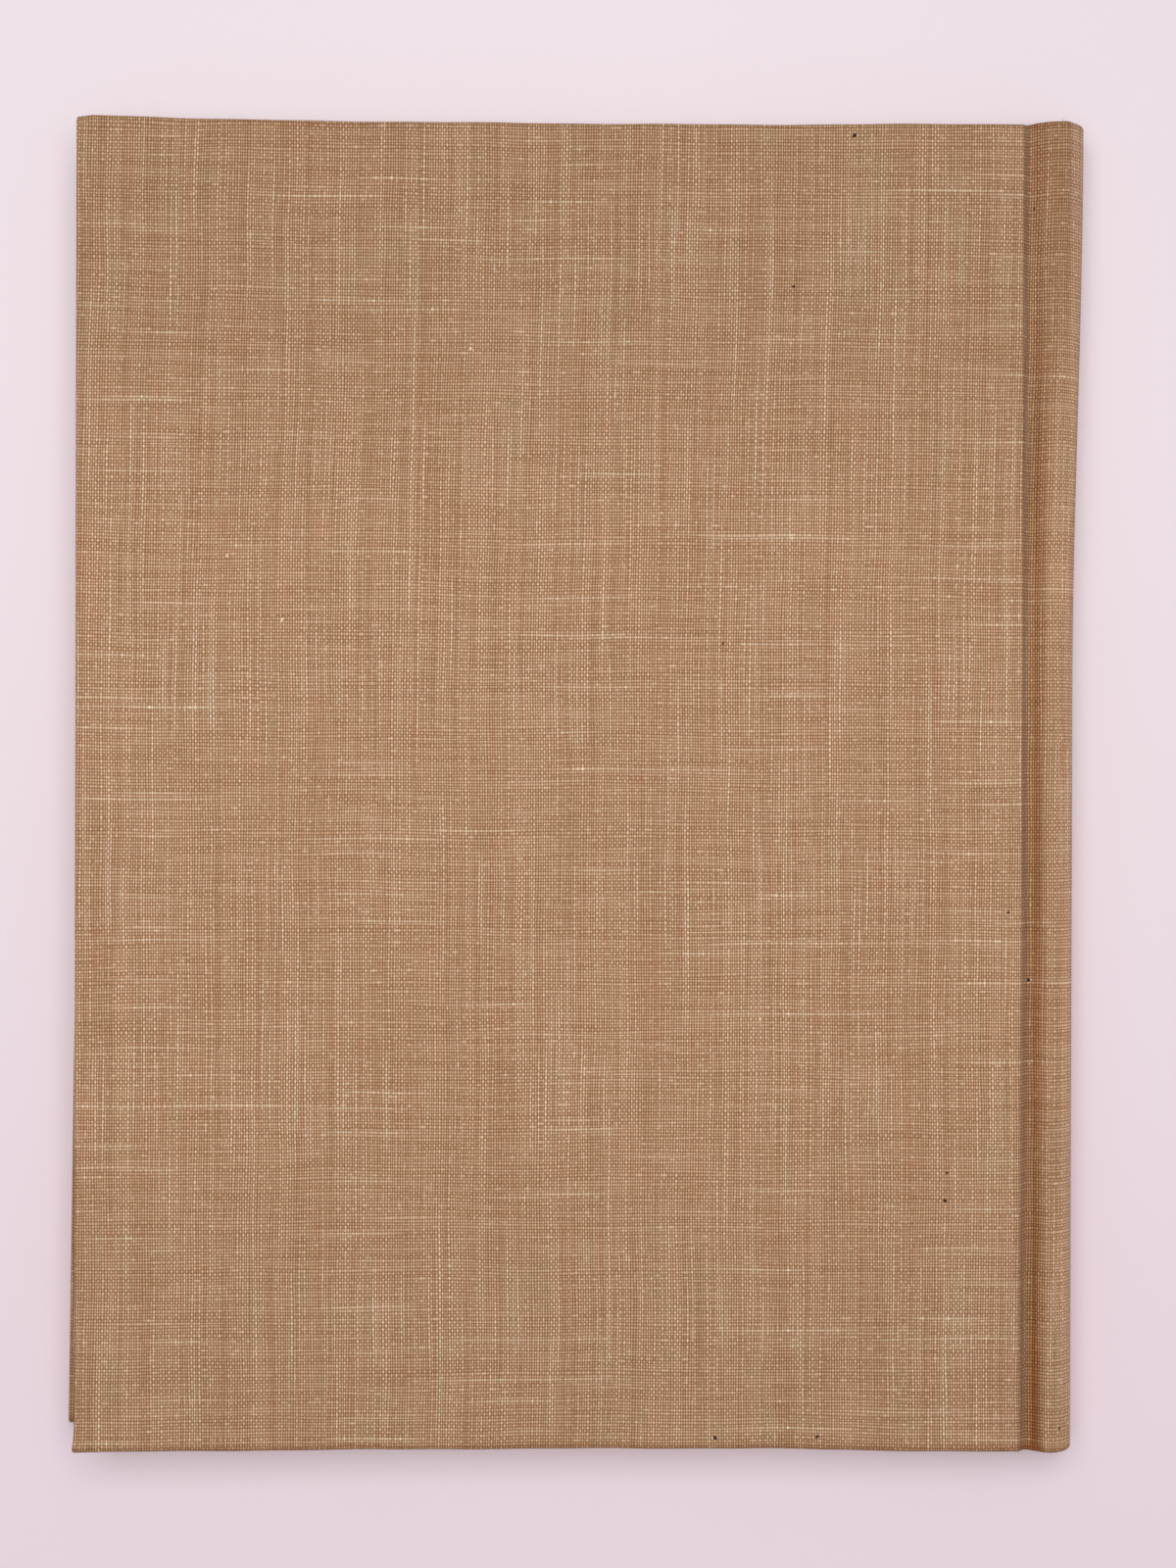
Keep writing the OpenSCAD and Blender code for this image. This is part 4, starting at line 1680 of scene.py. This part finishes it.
@dataclass
class Scraps:
    """Loose ends of flax, lumps of yarn and flakes of husk, where the book shows them.

    Attributes:
        seed: Number that the fibres' chances come from.
        cover_husks: x, y and half length of each husk on the back cover.
        spine_husks: The same for the spine.
        lumps: x, y and half length of each lump of yarn.
        cover_fibres: x, y and number of fibres of each tuft on the back cover.
        spine_fibres: The same for the spine.
        round_steps: Points round a lump.
        long_steps: Steps along a lump.
        fibre_r: Radius of a loose fibre at its root.
        fibre_steps: Steps along a loose fibre.
        fibre_sides: Points round a loose fibre.
        root_y: Distance from the middle at which the cloth's height is taken for a tuft.
    """

    seed: int = 4
    cover_husks: tuple = ((-43.2, 141.1, 0.65), (-56.3, 108.4, 0.45), (-71.4, 31.0, 0.4),
                          (-9.3, -27.1, 0.46), (-4.6, -42.0, 0.7), (-3.6, 126.1, 0.42),
                          (-22.5, -83.6, 0.4), (-22.9, -89.6, 0.55), (-72.6, -141.0, 0.6),
                          (-50.5, -140.8, 0.5))
    spine_husks: tuple = ((2.4, -139.4, 0.4),)
    lumps: tuple = ((-166.6, 35.7, 0.62), (-126.2, 94.4, 0.5), (-63.1, -50.3, 0.5), (-178.4, 49.4, 0.42))
    cover_fibres: tuple = ((-6.3, -143.9, 5), (-7.4, -143.9, 2))
    spine_fibres: tuple = ((1.2, -144.3, 6), (2.2, 144.4, 5), (0.6, 144.3, 3))
    round_steps: int = 8
    long_steps: int = 5
    fibre_r: float = 0.07
    fibre_steps: int = 7
    fibre_sides: int = 5
    root_y: float = 142.0

    def pebble(self, surface: Surface, centre: tuple, size: tuple, turn: float) -> None:
        """Adds a small flattened lump.

        Args:
            surface: The mesh in the making.
            centre: Where its middle lies.
            size: Its half length, half width and half height.
            turn: How far its length is turned from X.
        """
        rings = []
        for i in range(1, self.long_steps):
            angle = math.pi * i / self.long_steps
            row = []
            for j in range(self.round_steps):
                about = math.tau * j / self.round_steps
                x = size[0] * math.cos(angle)
                y = size[1] * math.sin(angle) * math.cos(about)
                z = size[2] * math.sin(angle) * math.sin(about)
                place = (centre[0] + x * math.cos(turn) - y * math.sin(turn),
                         centre[1] + x * math.sin(turn) + y * math.cos(turn), centre[2] + z)
                row.append(surface.point(place))
            rings.append(row)
        surface.rod(rings)

    def fibre(self, surface: Surface, root: tuple, lean: tuple, length: float,
              chance: random.Random) -> None:
        """Adds one loose fibre that tapers and curls.

        Args:
            surface: The mesh in the making.
            root: Where it leaves the cloth.
            lean: Its direction there.
            length: Its length.
            chance: Where its curl comes from.
        """
        bend = (chance.uniform(-0.6, 0.6), chance.uniform(-0.3, 0.3), chance.uniform(-0.5, 0.5))
        rings = []
        for k in range(self.fibre_steps + 1):
            share = k / self.fibre_steps
            middle = [root[a] + length * share * (lean[a] + bend[a] * share) for a in (0, 1, 2)]
            radius = self.fibre_r * (1 - 0.6 * share)
            row = []
            for j in range(self.fibre_sides):
                angle = math.tau * j / self.fibre_sides
                row.append(surface.point((middle[0] + radius * math.cos(angle), middle[1] + radius * 0.4,
                                          middle[2] + radius * math.sin(angle))))
            rings.append(row)
        surface.rod(rings)

    def place(self, surface: Surface, name: str, body: str, finish: bpy.types.Material) -> None:
        """Makes the piece, turns its faces outward and gives it its body and finish."""
        piece = faced_out(surface.piece(name))
        piece.data.materials.append(finish)
        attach(piece, body)
        LOG.info("built %s", piece.name)

    def build(self, finishes: Finishes) -> None:
        """Scatters the scraps on the back cover and on the spine."""
        chance = random.Random(self.seed)
        cloth = CaseCloth(Side.BACK)
        cover = Side.BACK.body
        for name, body, husks in (("cover_husks", cover, self.cover_husks),
                                  ("spine_husks", BLOCK, self.spine_husks)):
            surface = Surface()
            for x, y, long in husks:
                turn = chance.uniform(0, math.pi)
                self.pebble(surface, (x, y, cloth.top_at(x, y) + 0.01), (long, long * 0.55, 0.06), turn)
            self.place(surface, name, body, finishes.husk)
        surface = Surface()
        for x, y, long in self.lumps:
            top = cloth.top_at(x, y)
            self.pebble(surface, (x, y, top + 0.02), (0.3, long, 0.14), 0.0)
            self.pebble(surface, (x + 0.15, y + 0.3 * long, top + 0.02), (0.5 * long, 0.22, 0.12), 0.1)
        self.place(surface, "yarn_lumps", cover, finishes.fibre)
        for name, body, tufts in (("cover_loose_fibres", cover, self.cover_fibres),
                                  ("spine_loose_fibres", BLOCK, self.spine_fibres)):
            surface = Surface()
            for x, y, number in tufts:
                out = math.copysign(1.0, y)
                for _ in range(number):
                    root_x = x + chance.uniform(-0.5, 0.5)
                    top = cloth.top_at(root_x, math.copysign(self.root_y, y))
                    root = (root_x, y, top - chance.uniform(0.3, 1.0))
                    lean = (chance.uniform(-0.7, 0.7), out * chance.uniform(0.2, 0.7),
                            chance.uniform(-0.1, 0.5))
                    self.fibre(surface, root, lean, chance.uniform(0.8, 1.8), chance)
            self.place(surface, name, body, finishes.fibre)


@dataclass
class Studio:
    """The pale table, the soft light and the camera over the book.

    Attributes:
        lens: The camera's focal length, on its own 36 mm film.
        eye: Place of the camera in the shared frame, in millimetres.
        tilt: The camera's turns about X, Y and Z, in degrees.
        table_half: Half the table's width, in metres.
        paint: The table's colour towards the head and towards the tail.
        paint_y: Places between which the one runs into the other, in metres.
        room: Strength of the light that the pale room gives back.
        lamp_w: Power of the lamp, in watts.
        lamp_wide: Width of the lamp, in metres.
        lamp_place: Where the lamp hangs, in metres.
    """

    lens: float = 55.72
    eye: tuple = (-6.15, 0.80, 540.9)
    tilt: tuple = (-0.166, -0.974, 0.155)
    table_half: float = 3.0
    paint: tuple = ("#f1e4eb", "#f2dfe9")
    paint_y: tuple = (0.12, -0.2)
    room: float = 0.33
    lamp_w: float = 7.9
    lamp_wide: float = 0.85
    lamp_place: tuple = (-0.04, 0.16, 1.0)

    def floor(self) -> None:
        """Makes the pale table that the book lies on."""
        mesh = bpy.data.meshes.new("table_top")
        half = self.table_half
        corners = [(-half, -half, 0), (half, -half, 0), (half, half, 0), (-half, half, 0)]
        mesh.from_pydata(corners, [], [(0, 1, 2, 3)])
        table = bpy.data.objects.new("table_top", mesh)
        bpy.context.scene.collection.objects.link(table)
        material = new_material("painted_table")
        tree = material.node_tree
        place = add_node(tree, "ShaderNodeTexCoord").outputs["Object"]
        parts = add_node(tree, "ShaderNodeSeparateXYZ", {0: place})
        head_y, tail_y = self.paint_y
        share = add_node(tree, RANGE, {0: parts.outputs[1], 1: head_y, 2: tail_y},
                         interpolation_type="SMOOTHSTEP").outputs[0]
        brushed = add_node(tree, NOISE, {"Vector": place, "Scale": 9.0, "Detail": 4.0}).outputs[0]
        cloudy = add_node(tree, RANGE, {0: brushed, 3: 0.985, 4: 1.015}).outputs[0]
        paint = between(tree, share, *self.paint)
        colour = add_node(tree, VECTOR, {0: paint, 3: cloudy}, operation="SCALE").outputs[0]
        shader = add_node(tree, "ShaderNodeBsdfPrincipled", {"Base Color": colour, "Roughness": 0.6})
        add_node(tree, "ShaderNodeOutputMaterial", {"Surface": shader.outputs[0]})
        mesh.materials.append(material)

    def lamps(self) -> None:
        """Hangs a wide soft lamp over the book, in a pale room."""
        bpy.context.scene.view_settings.view_transform = "Standard"
        world = bpy.data.worlds.new("pale_room")
        bpy.context.scene.world = world
        world.use_nodes = True
        world.node_tree.nodes["Background"].inputs["Color"].default_value = linear("#ffffff")
        world.node_tree.nodes["Background"].inputs["Strength"].default_value = self.room
        light = bpy.data.lights.new("soft_box", "AREA")
        light.shape = "RECTANGLE"
        light.size = self.lamp_wide
        light.size_y = self.lamp_wide
        light.energy = self.lamp_w
        lamp = bpy.data.objects.new("soft_box", light)
        lamp.location = self.lamp_place
        lamp.rotation_euler = (-Vector(self.lamp_place)).to_track_quat("-Z", "Y").to_euler()
        bpy.context.scene.collection.objects.link(lamp)

    def camera(self) -> None:
        """Sets the camera straight over the book, as the photograph was taken."""
        data = bpy.data.cameras.new("camera")
        data.lens = self.lens
        made = bpy.data.objects.new("camera", data)
        made.location = [place * MM for place in self.eye]
        made.rotation_euler = [math.radians(angle) for angle in self.tilt]
        bpy.context.scene.collection.objects.link(made)
        bpy.context.scene.camera = made


def dress_frame(finishes: Finishes) -> None:
    """Gives the CAD nodes that stay their finishes.

    Args:
        finishes: The book's finishes.
    """
    kept = {
        "front_free_endpaper": finishes.endpaper,
        "back_free_endpaper": finishes.endpaper,
        "front_board": finishes.board,
        "back_board": finishes.board,
        "spine_lining": finishes.kraft,
        "spine_mull": finishes.mull,
    }
    for name, finish in kept.items():
        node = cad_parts[name]
        node.data.materials.clear()
        node.data.materials.append(finish)
        LOG.info("dressed %s", name)


def main() -> None:
    """Builds the book's looks round the frame, and the studio round the book."""
    logging.basicConfig(level=logging.INFO, format="%(message)s")
    finishes = Finishes()
    for side in Side:
        cloth = CaseCloth(side).build()
        cloth.data.materials.append(finishes.linen)
        LOG.info("built %s", cloth.name)
        paper = HingePaper(side).build()
        paper.data.materials.append(finishes.endpaper)
        LOG.info("built %s", paper.name)
    inlay = SpineInlay().build()
    inlay.data.materials.append(finishes.kraft)
    LOG.info("built %s", inlay.name)
    leaves = Leaves().build()
    leaves.data.materials.append(finishes.leaves)
    LOG.info("built %s", leaves.name)
    for end in ("head", "tail"):
        band = HeadBand(end).build(finishes)
        LOG.info("built %s", band.name)
    Scraps().build(finishes)
    dress_frame(finishes)
    studio = Studio()
    studio.floor()
    studio.lamps()
    studio.camera()


if __name__ == "__main__":
    main()
